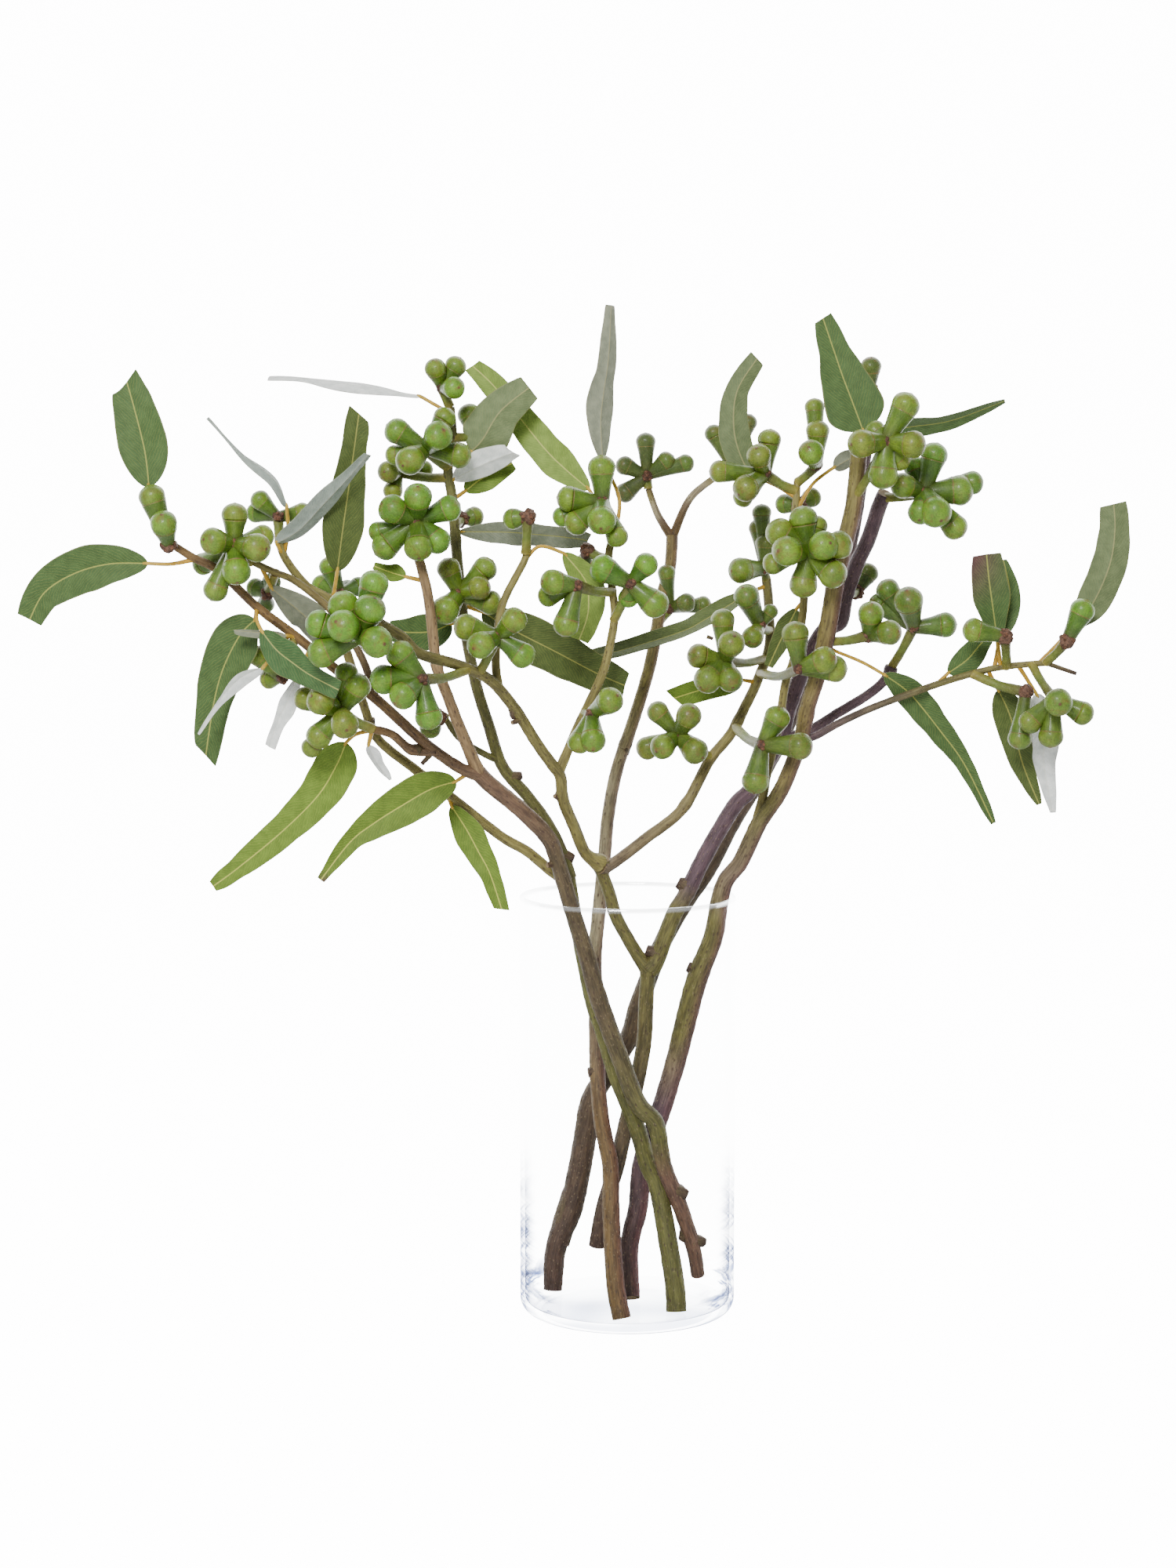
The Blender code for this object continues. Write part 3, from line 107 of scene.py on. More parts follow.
# Each branch: its radii from foot to end, evenly spread along its route, and the route.
WOOD = {
    "sprig_a": {
        "stem": ((4.5, 5.9, 5.2, 4.7, 4.4, 4.2, 3.9, 3.7, 3.5, 3.2, 3), [(-35.5, 9.5, 14), (-34, 30, 16),
            (-26.6, 50, 20), (-20.7, 80, 23), (-17.5, 100, 24), (-9.5, 115, 24), (1, 132, 24),
            (4.8, 146, 24), (10, 160, 24), (17, 178, 24), (27, 196, 25), (38, 212, 30), (50, 235, 38),
            (64, 258, 46), (75, 280, 52), (84, 305, 56), (92, 325, 58), (99, 345, 60), (105, 370, 62),
            (109, 395, 62), (111.5, 415, 60), (112.5, 432, 58)]),
        "heel": ((5.6, 5.4), [(-33, 32, 17), (-28.5, 48, 20), (-24.7, 60, 21.5), (-21.5, 75, 22.8)]),
    },
    "sprig_b": {
        "foot": ((4, 3.6), [(-14.4, 31, 8), (-11, 50, 5), (-5, 70, 2), (-0.6, 90, 2), (4.4, 110, 3),
            (7.9, 130, 3), (8.9, 150, 1), (10, 166, 0)]),
        "left": ((3.2, 2.9), [(10, 164, 0), (5.6, 170, 0), (-0.4, 180, -1), (-5.6, 190, -3),
            (-8.4, 200, -5), (-12.5, 212, -8), (-13, 217, -10)]),
        "right": ((4, 3.6), [(10, 164, 0), (14.1, 170, 0), (21.7, 190, 0), (27.5, 200, 0), (37.3, 220, 4),
            (50.2, 242, 10), (57, 249, 13), (65, 262, 17), (72, 275, 20), (76.9, 292, 20), (84.6, 312, 18),
            (92, 325, 15), (99.6, 329, 13), (102, 341, 7), (106.7, 355, 1), (112.5, 368, -7),
            (117, 382, -15), (120, 389, -19)]),
        "side": ((2.5, 2.2), [(71, 273, 20), (85.7, 278, 22), (98.6, 286, 21), (113.3, 295, 19),
            (121, 302, 17), (124, 308, 16)]),
        "front_left": ((2.9, 2.3), [(-13, 215, -10), (-20, 220, -16), (-25, 231.7, -24), (-30.4, 245, -34),
            (-31.7, 256, -40), (-35.8, 262, -45), (-42.9, 272, -52), (-53.7, 289, -63), (-65.3, 302, -76),
            (-79.7, 308.7, -88), (-97.6, 314, -102), (-105.6, 321.6, -108), (-113.4, 326.5, -114),
            (-118.3, 329.4, -118)]),
        "middle_twig": ((2.3, 1.7), [(-33, 257, -41), (-27.7, 269.5, -40), (-23.2, 280.4, -40),
            (-13.4, 301, -44), (-9.3, 313.7, -46), (-6.2, 331.4, -48), (-7.2, 343, -50), (-9, 360, -52),
            (-6, 372, -54)]),
        "light_twig": ((2, 1.6), [(-61, 299, -71), (-62, 310, -69), (-61, 325, -65), (-58, 339, -62),
            (-48.7, 357, -58), (-47.8, 361, -58)]),
        "inner": ((2.8, 2.3), [(-13, 214, -10), (-7.6, 214.5, -6), (8.9, 227, 2), (25.9, 241, 8),
            (38.7, 264, 12), (48.3, 276, 16), (56.6, 292, 20), (60.7, 301, 22), (66.2, 317, 25),
            (66.2, 334, 25), (64.8, 349, 22)]),
    },
    "sprig_c": {
        "stem": ((4.4, 3.7, 3.1, 2.9), [(-2.6, -4.5, -40), (-5.3, 10, -37), (-6.9, 30, -31),
            (-7.7, 50, -25), (-8.1, 70, -18), (-12, 90, -10), (-14, 110, -3), (-14.6, 125, 1),
            (-15, 150, 8), (-15.5, 170, 13), (-13.7, 190, 18), (-10.8, 220, 28), (-9, 239, 34),
            (-4.9, 260, 42), (2.5, 282, 50), (10.7, 310, 60), (16.3, 342, 70), (19.8, 355, 74),
            (20.7, 369, 78)]),
        "left": ((2, 1.6), [(20.7, 368, 78), (13.9, 379, 80), (9.5, 391, 82)]),
        "right": ((2, 1.6), [(20.7, 368, 78), (28.6, 386, 84), (40, 396, 90), (45, 400, 92)]),
    },
    "sprig_d": {
        "stem": ((4.3, 4.8, 4.9, 4.9, 5.3, 4.5, 4, 3.9, 3.6, 3.7, 4.2, 4, 3.7), [(2, 5.5, -5), (1, 30, 6),
            (5.2, 50, 11), (7, 70, 12), (11, 82, 12), (17.1, 100, 11), (22.9, 120, 9), (27.8, 140, 5),
            (33, 160, 2), (40.6, 180, 0), (43.3, 196, 0), (46.3, 206.5, 0), (53.5, 216, -2), (62, 234, -6),
            (71.3, 248, -10), (77.1, 261, -14), (81.8, 275, -18), (84.6, 289, -22), (88.5, 302, -25),
            (93.2, 323, -28), (98, 352, -31), (105, 381, -33), (107.2, 402, -34), (108, 412, -34)]),
        "twig": ((2.2, 1.7), [(61, 235, -6), (64, 248, -7), (66, 259, -6), (71, 280, -5), (74, 300, -8),
            (78, 312, -14), (82, 333, -24), (82, 352, -30), (78, 372, -27), (78.5, 384, -23),
            (79, 395, -20)]),
        "right": ((1.9, 1.5), [(82, 274, -18), (87.8, 275, -16), (100.6, 282, -14), (116, 289, -12),
            (137.6, 297, -12), (156, 303, -13), (174, 307.5, -16), (196, 309.7, -20)]),
    },
    "sprig_e": {
        "stem": ((4.9, 3.1), [(23.5, -1, -27), (23, 10, -25), (20, 30, -20), (14.5, 60, -13),
            (9.9, 70, -12), (5, 87, -12), (0, 100, -12), (-6, 115, -13), (-12, 135, -15), (-17, 150, -16),
            (-24, 185, -20), (-28, 210, -23)]),
        "main": ((3.1, 2.1), [(-27.5, 208, -23), (-32, 222, -25), (-38, 234, -27), (-47.4, 247, -30),
            (-59, 261, -34), (-65.3, 280, -38), (-71.6, 301, -41), (-77, 330, -43), (-80, 360, -45),
            (-82, 385, -48), (-84, 400, -50), (-82, 415, -52), (-83, 429, -52)]),
        "left": ((2.6, 1.8), [(-27, 205, -22.5), (-37, 212, -24), (-48, 221, -28), (-60, 228, -32),
            (-84, 247, -40), (-100.8, 260, -43), (-117.6, 274, -45), (-124, 289.5, -48), (-134, 322, -55),
            (-138.8, 338, -58), (-150.5, 346, -60), (-160, 358, -63), (-163, 366, -65)]),
        "small": ((1.7, 1.4), [(-60, 264, -35), (-66, 266, -38), (-79, 274, -44), (-86, 284, -50)]),
    },
    "sprig_f": {
        "stem": ((3.3, 3.8, 4.3, 4.2, 3.7, 3.8, 3.8), [(33.8, 17, -4), (31.6, 30, -10), (25.3, 50, -15.6),
            (17.4, 70, -19.8), (13.5, 90, -23), (5, 100, -24), (-2.8, 120, -25), (-13.5, 150, -27),
            (-19.1, 170, -29), (-25.4, 190, -31), (-33, 215.5, -34), (-37.5, 227, -38), (-50, 240, -45),
            (-64.4, 252, -52), (-70.7, 258, -56)]),
        "upper": ((2.7, 2.2), [(-70, 257, -56), (-79.7, 281, -64), (-84.6, 294, -68), (-89.8, 309, -71),
            (-92.3, 331, -72), (-94.2, 344, -73), (-97.7, 358, -74)]),
        "left": ((2.8, 1.7), [(-70, 257.5, -56), (-77.9, 259.6, -60), (-91.3, 268.6, -66), (-100, 276, -70),
            (-119.8, 294, -78), (-135, 305, -84), (-155, 321.6, -90), (-173.9, 336, -94),
            (-191.4, 352.7, -98), (-203.5, 359, -100), (-213, 365, -102)]),
        "low": ((2.2, 1.8), [(-91, 268.3, -66), (-101.7, 268.7, -70), (-111, 276, -76),
            (-120.3, 278.6, -82)]),
        "high": ((1.9, 1.5), [(-119, 293.3, -78), (-122, 305, -74), (-128, 318, -71), (-139, 334, -76),
            (-155, 347.5, -84), (-165, 352, -91), (-175.8, 357, -98)]),
    },
}

# Swellings and leaf scars on the wood: x, z, y and radius.
KNOTS = {
    "sprig_b": [(10.5, 173, 0, 4.1), (25.5, 205, 1, 4.6), (-13, 216, -9.5, 4.5), (-33, 247, -34, 2.3),
        (-53.7, 285, -61, 2.7), (27, 243, 8.5, 2.9), (123, 306.5, 16.5, 3.4), (52, 282, 17, 2.9),
        (12.5, 165.5, 0, 4.4)],
    "sprig_c": [(-17, 115, -2, 3.7), (0, 271, 46, 3.2), (14, 322, 64, 2.9)],
    "sprig_d": [(30, 165, 2, 3.9), (83, 285, -21, 3.7), (108, 411, -34, 4.1)],
    "sprig_e": [(-27, 217.5, -24, 3.4), (-51, 256.5, -32, 2.8), (-80.5, 367.5, -46, 2.6),
        (-120.3, 281, -46, 2.4)],
    "sprig_f": [(27, 56, -17.5, 3.9), (27, 35, -12, 3.7), (35.5, 33, -9, 3.7), (-90.5, 309, -71, 2.9),
        (-101.7, 269.5, -70, 2.6), (-72, 259, -57, 3.2)],
}

# Each leaf: its branch by letter and name, depth at its tip, width, roll at base and tip in degrees
# (0 faces the eye), where along the blade it is widest, width left at the cut tip as a share, slant
# of the cut, where the blade starts in its route, and its route as (x, z) from the branch.
LEAVES = [
    ("f left", -92, 22, 0, 0, 0.42, 0.5, -4, 2, [(-213, 364), (-219, 380), (-223.7, 392), (-225.4, 408.5),
        (-230.2, 429), (-233.4, 440.6)]),
    ("f left", -96, 21, 0, 0, 0.4, 0.55, 0, 2, [(-203.5, 358), (-214, 356), (-225, 356.3), (-243, 356),
        (-259.5, 351.4), (-273.3, 342.6), (-280.4, 330)]),
    ("e left", -76, 13, 70, 80, 0.3, 0.2, 0, 2, [(-161, 360.5), (-159, 371), (-159.5, 383), (-165.7, 395),
        (-181, 408), (-196, 424)]),
    ("e main", -44, 13, 60, 75, 0.6, 0.35, 0, 2, [(-83, 426), (-89, 429.5), (-97, 434), (-111, 436),
        (-130, 439), (-150, 442), (-167.5, 442.4)]),
    ("e left", -68, 19, 0, 0, 0.35, 0.5, 3, 2, [(-138.5, 337), (-137.3, 345), (-136, 353), (-134, 367.5),
        (-131.7, 383), (-129, 401), (-125.4, 426)]),
    ("e left", -84, 14, 44, 56, 0.38, 0.35, 0, 1, [(-160, 358.5), (-164.5, 366), (-154, 372), (-142.5, 384),
        (-132, 395), (-121.4, 407)]),
    ("f high", -62, 17, 30, 10, 0.38, 0.5, 0, 1, [(-172, 355.5), (-167, 345), (-151.5, 332),
        (-145.6, 324.6), (-141, 319)]),
    ("f left", -84, 22, 0, 0, 0.36, 0.45, 4, 1, [(-173.9, 335), (-174.7, 330), (-182, 322.6), (-190, 307),
        (-194.7, 290), (-198.6, 266)]),
    ("f left", -106, 10, 45, 60, 0.3, 0.12, 0, 1, [(-158, 324), (-171.6, 307), (-182, 302), (-191.4, 292),
        (-202, 276)]),
    ("f left", -80, 10, 30, 40, 0.38, 0.6, 0, 1, [(-149, 316.5), (-155, 303), (-159.5, 292), (-164, 283),
        (-168.6, 270)]),
    ("f left", -116, 16, 0, 20, 0.42, 0.5, 0, 2, [(-173.9, 336), (-174, 330), (-171.6, 324.5), (-165, 316),
        (-157.6, 310), (-149, 304), (-135.7, 297)]),
    ("f left", -102, 8, 60, 60, 0.38, 0.4, 0, 1, [(-155, 321.6), (-160, 322.5), (-172, 323.5),
        (-184.6, 324.6)]),
    ("f left", -72, 20, 0, 0, 0.3, 0.16, 0, 1, [(-74, 258.5), (-81, 253.7), (-93, 250), (-107, 242),
        (-119.6, 234), (-131, 225), (-145, 207)]),
    ("f low", -70, 20, 0, 10, 0.22, 0.28, 0, 2, [(-120.3, 278), (-128, 276), (-132.6, 272), (-137, 261.6),
        (-146, 247), (-163, 230), (-183.6, 213), (-195.8, 204)]),
    ("e left", -46, 14, 0, 0, 0.33, 0.48, 1.5, 1, [(-84.6, 248), (-83, 242), (-76, 231), (-70.7, 221),
        (-65, 210), (-59.5, 193)]),
    ("f low", -72, 7, 30, 40, 0.4, 0.3, 0, 1, [(-120.3, 278), (-122, 271), (-118, 263), (-112, 254.5)]),
    ("f upper", -66, 9, 20, 20, 0.38, 0.3, 0, 1, [(-95, 348), (-104, 350), (-111, 352), (-119, 355)]),
    ("e main", -56, 17, 0, 0, 0.38, 0.5, 0, 1, [(-76.5, 330), (-83, 328), (-92, 324.5), (-102, 324),
        (-112, 325)]),
    ("e main", -24, 22, 0, 0, 0.38, 0.55, -1, 1, [(-78, 337), (-68, 333.5), (-53.6, 325), (-34, 315),
        (-15, 305), (-1.3, 299)]),
    ("b light_twig", -40, 16, 0, 0, 0.38, 0.55, 0, 2, [(-50.5, 354), (-42, 364), (-30, 361), (-20, 348.5),
        (-18.4, 338), (-19.4, 330), (-22.8, 320.6)]),
    ("e main", -28, 14, 35, 35, 0.38, 0.6, 0, 1, [(-80.5, 370.5), (-78.8, 371.2), (-57.5, 371),
        (-43.8, 370), (-28, 368.5), (-18.7, 367)]),
    ("e main", -54, 15, 25, 40, 0.38, 0.5, -2, 1, [(-83, 392), (-81.6, 395.5), (-69, 402), (-59.5, 406),
        (-53.6, 408)]),
    ("e main", -38, 13, 0, 0, 0.38, 0.5, 0, 1, [(-82, 386), (-76, 390), (-68, 396), (-60, 400),
        (-54, 403)]),
    ("e main", -50, 23, 0, 0, 0.4, 0.52, 0, 2, [(-82.5, 411), (-77, 408), (-73, 408.5), (-67.8, 414),
        (-59.5, 427), (-46, 438)]),
    ("b middle_twig", -26, 16, 0, 0, 0.38, 0.5, 1, 2, [(-7.5, 367), (-12, 380), (-18.4, 391),
        (-29.6, 400.5), (-40, 411), (-61, 437), (-72.4, 448)]),
    ("b middle_twig", -38, 15, 30, 40, 0.38, 0.35, 0, 2, [(-8.5, 362), (-4, 385), (-12, 404), (-13, 422),
        (-11.5, 437), (-9.5, 450.5), (-8, 476)]),
    ("b inner", 2, 15, 62, 55, 0.38, 0.6, 0, 1, [(65.2, 346), (59, 343.5), (48, 337), (36.5, 330),
        (24.7, 324), (-2.7, 315.6), (-17.6, 312.6)]),
    ("d twig", -8, 15, 0, 0, 0.38, 0.55, 1, 2, [(78.6, 387), (70, 392), (60, 396.5), (54, 403), (49.4, 418),
        (50.6, 436), (60, 451.5)]),
    ("d twig", -12, 10, 30, 30, 0.38, 0.3, 0, 2, [(78.3, 380), (86, 393), (96, 401), (103, 405),
        (110, 408)]),
    ("d stem", -28, 27, 0, 0, 0.27, 0.33, -1, 1, [(108, 410), (109.5, 418), (107, 424.7), (103, 435),
        (99.5, 444), (96, 454), (90.4, 470)]),
    ("a stem", 52, 16, 50, 55, 0.35, 0.3, 0, 1, [(111.5, 415), (114.1, 417.5), (132, 420), (151, 423),
        (175.4, 432)]),
    ("d twig", -16, 11, 0, 0, 0.38, 0.4, 0, 1, [(81.8, 338), (79, 335), (75, 327), (71, 319), (66, 308)]),
    ("b inner", 8, 12, 0, 0, 0.38, 0.8, -3, 1, [(60.4, 300.5), (54, 301.6), (45.6, 300), (33, 296.6),
        (21.7, 293)]),
    ("d stem", 8, 14, 0, 0, 0.3, 0.22, 0, 3, [(92, 318), (98, 315), (110, 310), (120.6, 304), (132.7, 295),
        (147.5, 277), (159, 261), (172.5, 234)]),
    ("d right", -4, 16, 0, 10, 0.35, 0.15, 0, 1, [(169, 306.2), (174, 297), (180, 284), (186, 262),
        (194, 243)]),
    ("d right", -8, 15, 0, 30, 0.38, 0.2, 0, 1, [(183, 308.8), (192, 295), (196, 278), (196, 262),
        (200.5, 239)]),
    ("d right", -24, 17, 0, 0, 0.45, 0.8, 0, 1, [(175, 308), (173, 322), (170.8, 337), (169, 349),
        (167.7, 360.6)]),
    ("d right", -8, 11, 0, 0, 0.38, 0.3, 0, 1, [(172, 307), (174.4, 321), (179, 340), (175.6, 358)]),
    ("d right", -8, 13, 0, 0, 0.38, 0.3, 0, 1, [(145, 299.5), (150.5, 305), (159, 311), (165, 318),
        (171, 325)]),
    ("d right", -14, 17, 0, 0, 0.35, 0.75, -1, 2, [(193, 309.6), (201, 318), (209, 327), (218, 338),
        (225.5, 356), (227.6, 372), (226.8, 384)]),
]

# Each umbel: its branch, (x, z) where its peduncle leaves the branch, (x, z, y) of its hub, and
# its nuts as (x, z, radius) at the widest ring. A nut leans towards the eye unless a fourth value
# says how far behind the hub it lies.
UMBELS = [
    ("f left", (-213, 365), (-214.8, 365, -107), [(-222.5, 387.5, 5.8), (-217.2, 375, 5.8)]),
    ("f high", (-175.8, 357), (-184.3, 365, -105), [(-183.8, 379, 5.8), (-194.3, 366.7, 5.9),
        (-173.3, 363.6, 6.2), (-170.6, 369, 5.2, 8), (-183.3, 352.4, 6.3), (-198.8, 356, 5, 18),
        (-193.2, 343.6, 5.4)]),
    ("e left", (-163, 366), (-163.5, 378, -58), [(-172, 386, 4.5), (-174, 380, 4.5, 8), (-152, 380, 4.6)]),
    ("f left", (-156, 322.5), (-162.3, 302.7, -80), [(-173, 313, 4.9), (-168, 308, 4.4, 9),
        (-168.6, 302, 4.4, 7)]),
    ("f high", (-165, 352), (-169, 342, -78), [(-167, 347.5, 4.3, 7), (-174.4, 345, 4.3, 7),
        (-169.8, 337, 4, 8)]),
    ("e left", (-141.5, 339.8), (-135, 342, -47), [(-139.5, 355, 5), (-143.4, 346, 5, 8),
        (-131.4, 344, 4.6, 9), (-126, 345.5, 4.5, 5)]),
    ("b front_left", (-117, 328.7), (-126, 322, -124), [(-133.4, 337, 6.6), (-145.2, 328, 6.2),
        (-133.8, 327, 6.9), (-119, 347, 6.3), (-120.7, 335, 6.9), (-144, 314, 6.4), (-117.5, 319.5, 6.8)]),
    ("b front_left", (-75, 306.5), (-97, 302, -116), [(-107, 314, 6.2), (-114.7, 302, 6.6), (-106, 294, 6),
        (-93.6, 284, 6)]),
    ("e small", (-86, 284), (-89, 284, -54), [(-93, 279, 5, 6)]),
    ("f low", (-120.3, 278.6), (-135, 287, -97), [(-127, 299, 6.2), (-132, 305, 5.2), (-144.7, 292, 6.2),
        (-151.7, 293, 5.4, 3), (-133, 280.5, 6.1), (-145.6, 275, 5.8), (-149, 269.6, 4.6, 5)]),
    ("e main", (-83, 429), (-86.5, 438, -54), [(-89.8, 447, 4.8), (-80.2, 448, 4.9), (-81, 438, 5)]),
    ("e main", (-82, 415), (-71, 416, -45), [(-74, 425.6, 5.4, 3)]),
    ("e main", (-84, 401), (-94.2, 409.5, -64), [(-108, 418, 5.9), (-85.4, 424, 5.2, 2), (-88.4, 416, 6.4),
        (-102, 404, 6.4), (-78.6, 406.6, 5.8), (-109, 406.6, 4.6, 6)]),
    ("e main", (-83.5, 396), (-107, 399, -36), [(-111.8, 399, 5), (-94.7, 400, 4.1, 2), (-110, 390, 4.5)]),
    ("f upper", (-97.7, 358), (-98.6, 376, -78), [(-98.3, 387.5, 6.3), (-110.4, 381.7, 6.4),
        (-83.5, 382, 5.8), (-113.8, 364, 6.2), (-98, 363.6, 6.4), (-88.8, 366.5, 5.9),
        (-117, 371, 4.6, 3)]),
    ("e main", (-80.6, 374), (-78, 377, -34), [(-71.7, 378, 4.7, 4)]),
    ("e main", (-79, 345), (-79, 342, -54), [(-84, 354, 5.4), (-66.8, 354, 5.6), (-69.3, 345, 5.4),
        (-64.4, 338, 5.6), (-85.9, 334, 6.4)]),
    ("b front_left", (-70, 304.5), (-61.4, 322, -88), [(-76, 326.5, 6), (-69.3, 318, 6), (-53, 330, 5.6),
        (-49.2, 313, 5.8)]),
    ("b middle_twig", (-7.4, 343), (-24, 346, -76), [(-35.5, 347.5, 5.8), (-37.5, 341, 5, 4),
        (-29.2, 327.5, 5.9)]),
    ("b middle_twig", (-9, 358), (-19, 362, -46), [(-20.5, 356, 4.4, 8)]),
    ("b middle_twig", (-6, 372), (-12, 385, -60), [(-12.5, 401, 6.2), (-28, 386.6, 5.8), (-24.3, 375, 5.8),
        (-31, 378, 4.6, 5), (-12.5, 376, 6.4), (-5, 368.5, 5, -6)]),
    ("b light_twig", (-47.8, 361), (-46.8, 378, -62), [(-54, 377, 4.8, 4)]),
    ("c left", (9.5, 391), (8.8, 397, 82), [(8.2, 413, 4.9), (-1.8, 402, 4.7), (18, 404, 4.8),
        (27, 403, 4.5), (-1.5, 389, 5)]),
    ("b middle_twig", (-6.3, 330), (1.2, 347, -60), [(-12, 354, 6.4), (8.8, 356, 5.4), (12.9, 337, 6.4),
        (0.2, 340, 4.6, 6)]),
    ("b middle_twig", (-20, 286.5), (-16.9, 286, -49), [(-8.2, 292, 6.1), (-22.8, 272, 5.4, -6),
        (-16.5, 273, 6, -9)]),
    ("c stem", (13.8, 328), (19.8, 335, 72), [(18, 352, 4.4, -3), (27.6, 338, 4.7), (35.4, 337, 4.4)]),
    ("b inner", (63.5, 312), (45.5, 310.5, -8), [(44.5, 330, 5.6), (48.7, 319, 6.2), (33, 313, 5.8),
        (37.3, 301.6, 6.5), (48.3, 301.6, 5.8)]),
    ("b inner", (66.2, 325), (62, 327, 6), [(55.5, 341, 6.1, -10), (58.4, 321.6, 5.2), (67, 334, 3.6)]),
    ("b inner", (64.8, 349), (63.8, 354, 18), [(52.5, 353, 6.1), (64.3, 366, 4.8), (61, 373, 4.6, 4),
        (62.5, 380, 4.6, 2)]),
    ("d twig", (82, 356), (84.3, 361.7, -47), [(81.9, 377, 6.6), (70.6, 371, 6.6), (74, 362, 6.8),
        (91.7, 364.6, 6.6), (99, 365, 6.4, -8), (96, 351, 6.6, -8), (82, 346, 6.4), (67.7, 356, 5, 3),
        (88.3, 374, 5, 2)]),
    ("d twig", (78.8, 390), (64, 398, -24), [(61, 406.6, 5.6), (66, 414, 5.4), (55, 391, 6.2),
        (53.5, 387, 4.8, 2), (42.5, 399, 5.2)]),
    ("c right", (45, 400), (48, 402, 93), [(39.8, 417, 4.6), (56, 422, 4.6)]),
    ("d twig", (79, 394), (88, 402, -26), [(88.3, 418, 5.4), (85.3, 408, 5.9), (86.8, 429, 4.6, 4)]),
    ("d twig", (78.5, 382), (80, 384, -14), [(86, 387, 4.6, 5), (73, 384, 4.6, 5)]),
    ("d stem", (105.5, 386), (120.3, 413, -52), [(129.3, 430, 6.4), (108.5, 412, 6.4), (133, 411.5, 6.2),
        (118.9, 397, 6.7), (115, 418, 4.8, 4), (127, 404, 4.8, 5)]),
    ("a stem", (112.5, 432), (112.5, 437, 58), [(113, 448, 5)]),
    ("b right", (119, 387), (138, 389.5, -32), [(142.9, 407, 6.2), (155, 390.5, 7), (161, 394, 5.4, 2),
        (144, 380, 7.2), (153, 373, 6), (136.7, 380, 5.8), (128, 392.7, 5.8, -7), (134, 401, 5.4, 5)]),
    ("b inner", (51.7, 279), (63.2, 271, -22), [(70.4, 284, 6), (81.4, 270.5, 6.2, -12),
        (60.3, 253.7, 6.4, -4)]),
    ("b inner", (38.7, 266), (23.6, 275.5, 2), [(13.9, 287, 5.2), (28.8, 285, 6), (16.2, 270, 5.8),
        (8.9, 269.5, 5.6, 3), (32, 268, 6.2)]),
    ("b inner", (64.5, 304), (80.5, 307, -38), [(78.5, 323.5, 6.2), (92.4, 311, 6.2),
        (97.4, 307, 6.2, -1)]),
    ("b side", (124, 308), (134, 326.4, 10), [(131.4, 339, 7), (121.5, 344, 5.6), (117.6, 337.5, 5.4, 4),
        (149, 327.4, 6)]),
    ("b right", (102.5, 343), (107, 343, 20), [(112.5, 352, 5, 3)]),
    ("d stem", (93, 319.5), (113, 322.5, -20), [(114, 333, 6, -6), (123, 324, 5.8)]),
    ("d right", (178, 308), (177, 322, -30), [(162, 325, 5.6)]),
    ("d right", (196, 309.7), (206, 320, -28), [(213, 334.5, 5.8)]),
    ("d right", (189.5, 309.3), (200, 293, -34), [(202.3, 291, 6.4), (214, 286, 5.6), (199, 275, 5.8),
        (189, 281.6, 5.4)]),
    ("d right", (162, 304.3), (187, 296, -26), [(184.5, 274, 5.6)]),
]


def tone(red, green, blue, share=0.78):
    """A colour given as a screen shows it, from 0 to 255, in linear light."""
    return tuple(share * ((part / 255 + 0.055) / 1.055) ** 2.4 for part in (red, green, blue))


DARK_PURPLE = tone(100, 80, 90)
DARK_BROWN = tone(96, 84, 62)
FOOT_BROWN = tone(80, 62, 54)
WARM_BROWN = tone(124, 100, 80)
LIGHT_BROWN = tone(162, 136, 100)
TWIG_BROWN = tone(128, 102, 64)
RUST_BROWN = tone(114, 92, 58)
FOOT_TAN = tone(112, 86, 72)
OLIVE = tone(112, 108, 62)
OLIVE_DARK = tone(100, 100, 54)
OLIVE_WARM = tone(134, 118, 74)
PALE_OLIVE = tone(144, 136, 80)
PALE_GREY = tone(178, 168, 136)
GREEN_OLIVE = tone(124, 124, 72)
GREY_BROWN = tone(132, 116, 96)
FLUSH_TINT = tone(112, 72, 76)
CUT_TINT = tone(150, 128, 96)
KNOT_TINT = tone(84, 64, 54)
KNOB_TINTS = (tone(104, 92, 64), tone(70, 52, 46))
STUB_TINT = tone(120, 110, 70)
PALE_SPOT = tone(160, 142, 112)
DARK_DASH = tone(70, 50, 44)
HUB_TINT = tone(92, 64, 50)
BARE_HUB_TINT = tone(112, 82, 66)
SCAR_TINT = tone(118, 80, 60)
STALK_TINTS = (tone(206, 156, 40), tone(226, 190, 76))
PEDUNCLE_TINTS = (tone(158, 144, 66), tone(118, 134, 58), tone(104, 96, 52))
NUT_GREEN = tone(110, 164, 42)
# A dull dark green that nuts are blended towards more the further back their hub lies: painted shade, with
# a little random dullness on top.
NUT_CUP = tone(80, 122, 32)
NUT_WARM = tone(130, 148, 44)
NUT_DULL_SHADE = tone(86, 98, 52)
NUT_NECK = tone(82, 88, 40)
NUT_CREASE = tone(126, 118, 60)
NUT_TIP = tone(104, 76, 46)
NUT_RUST = tone(134, 96, 52)
NUT_SPECK = tone(98, 86, 44)
# Pale yellow for patches painted on the nuts as highlights.
NUT_GLINT = tone(186, 190, 110)
LEAF_SPECK = tone(96, 78, 50)
LEAF_MARGIN = tone(178, 176, 118)
PURPLE_TIP = tone(110, 78, 80)
GLASS_CLEAR = (0.99, 0.994, 0.994)
# The grey-blue that tints the glass near its foot as painted shade.
GLASS_EDGE_SHADE = tone(98, 110, 142, 1.0)
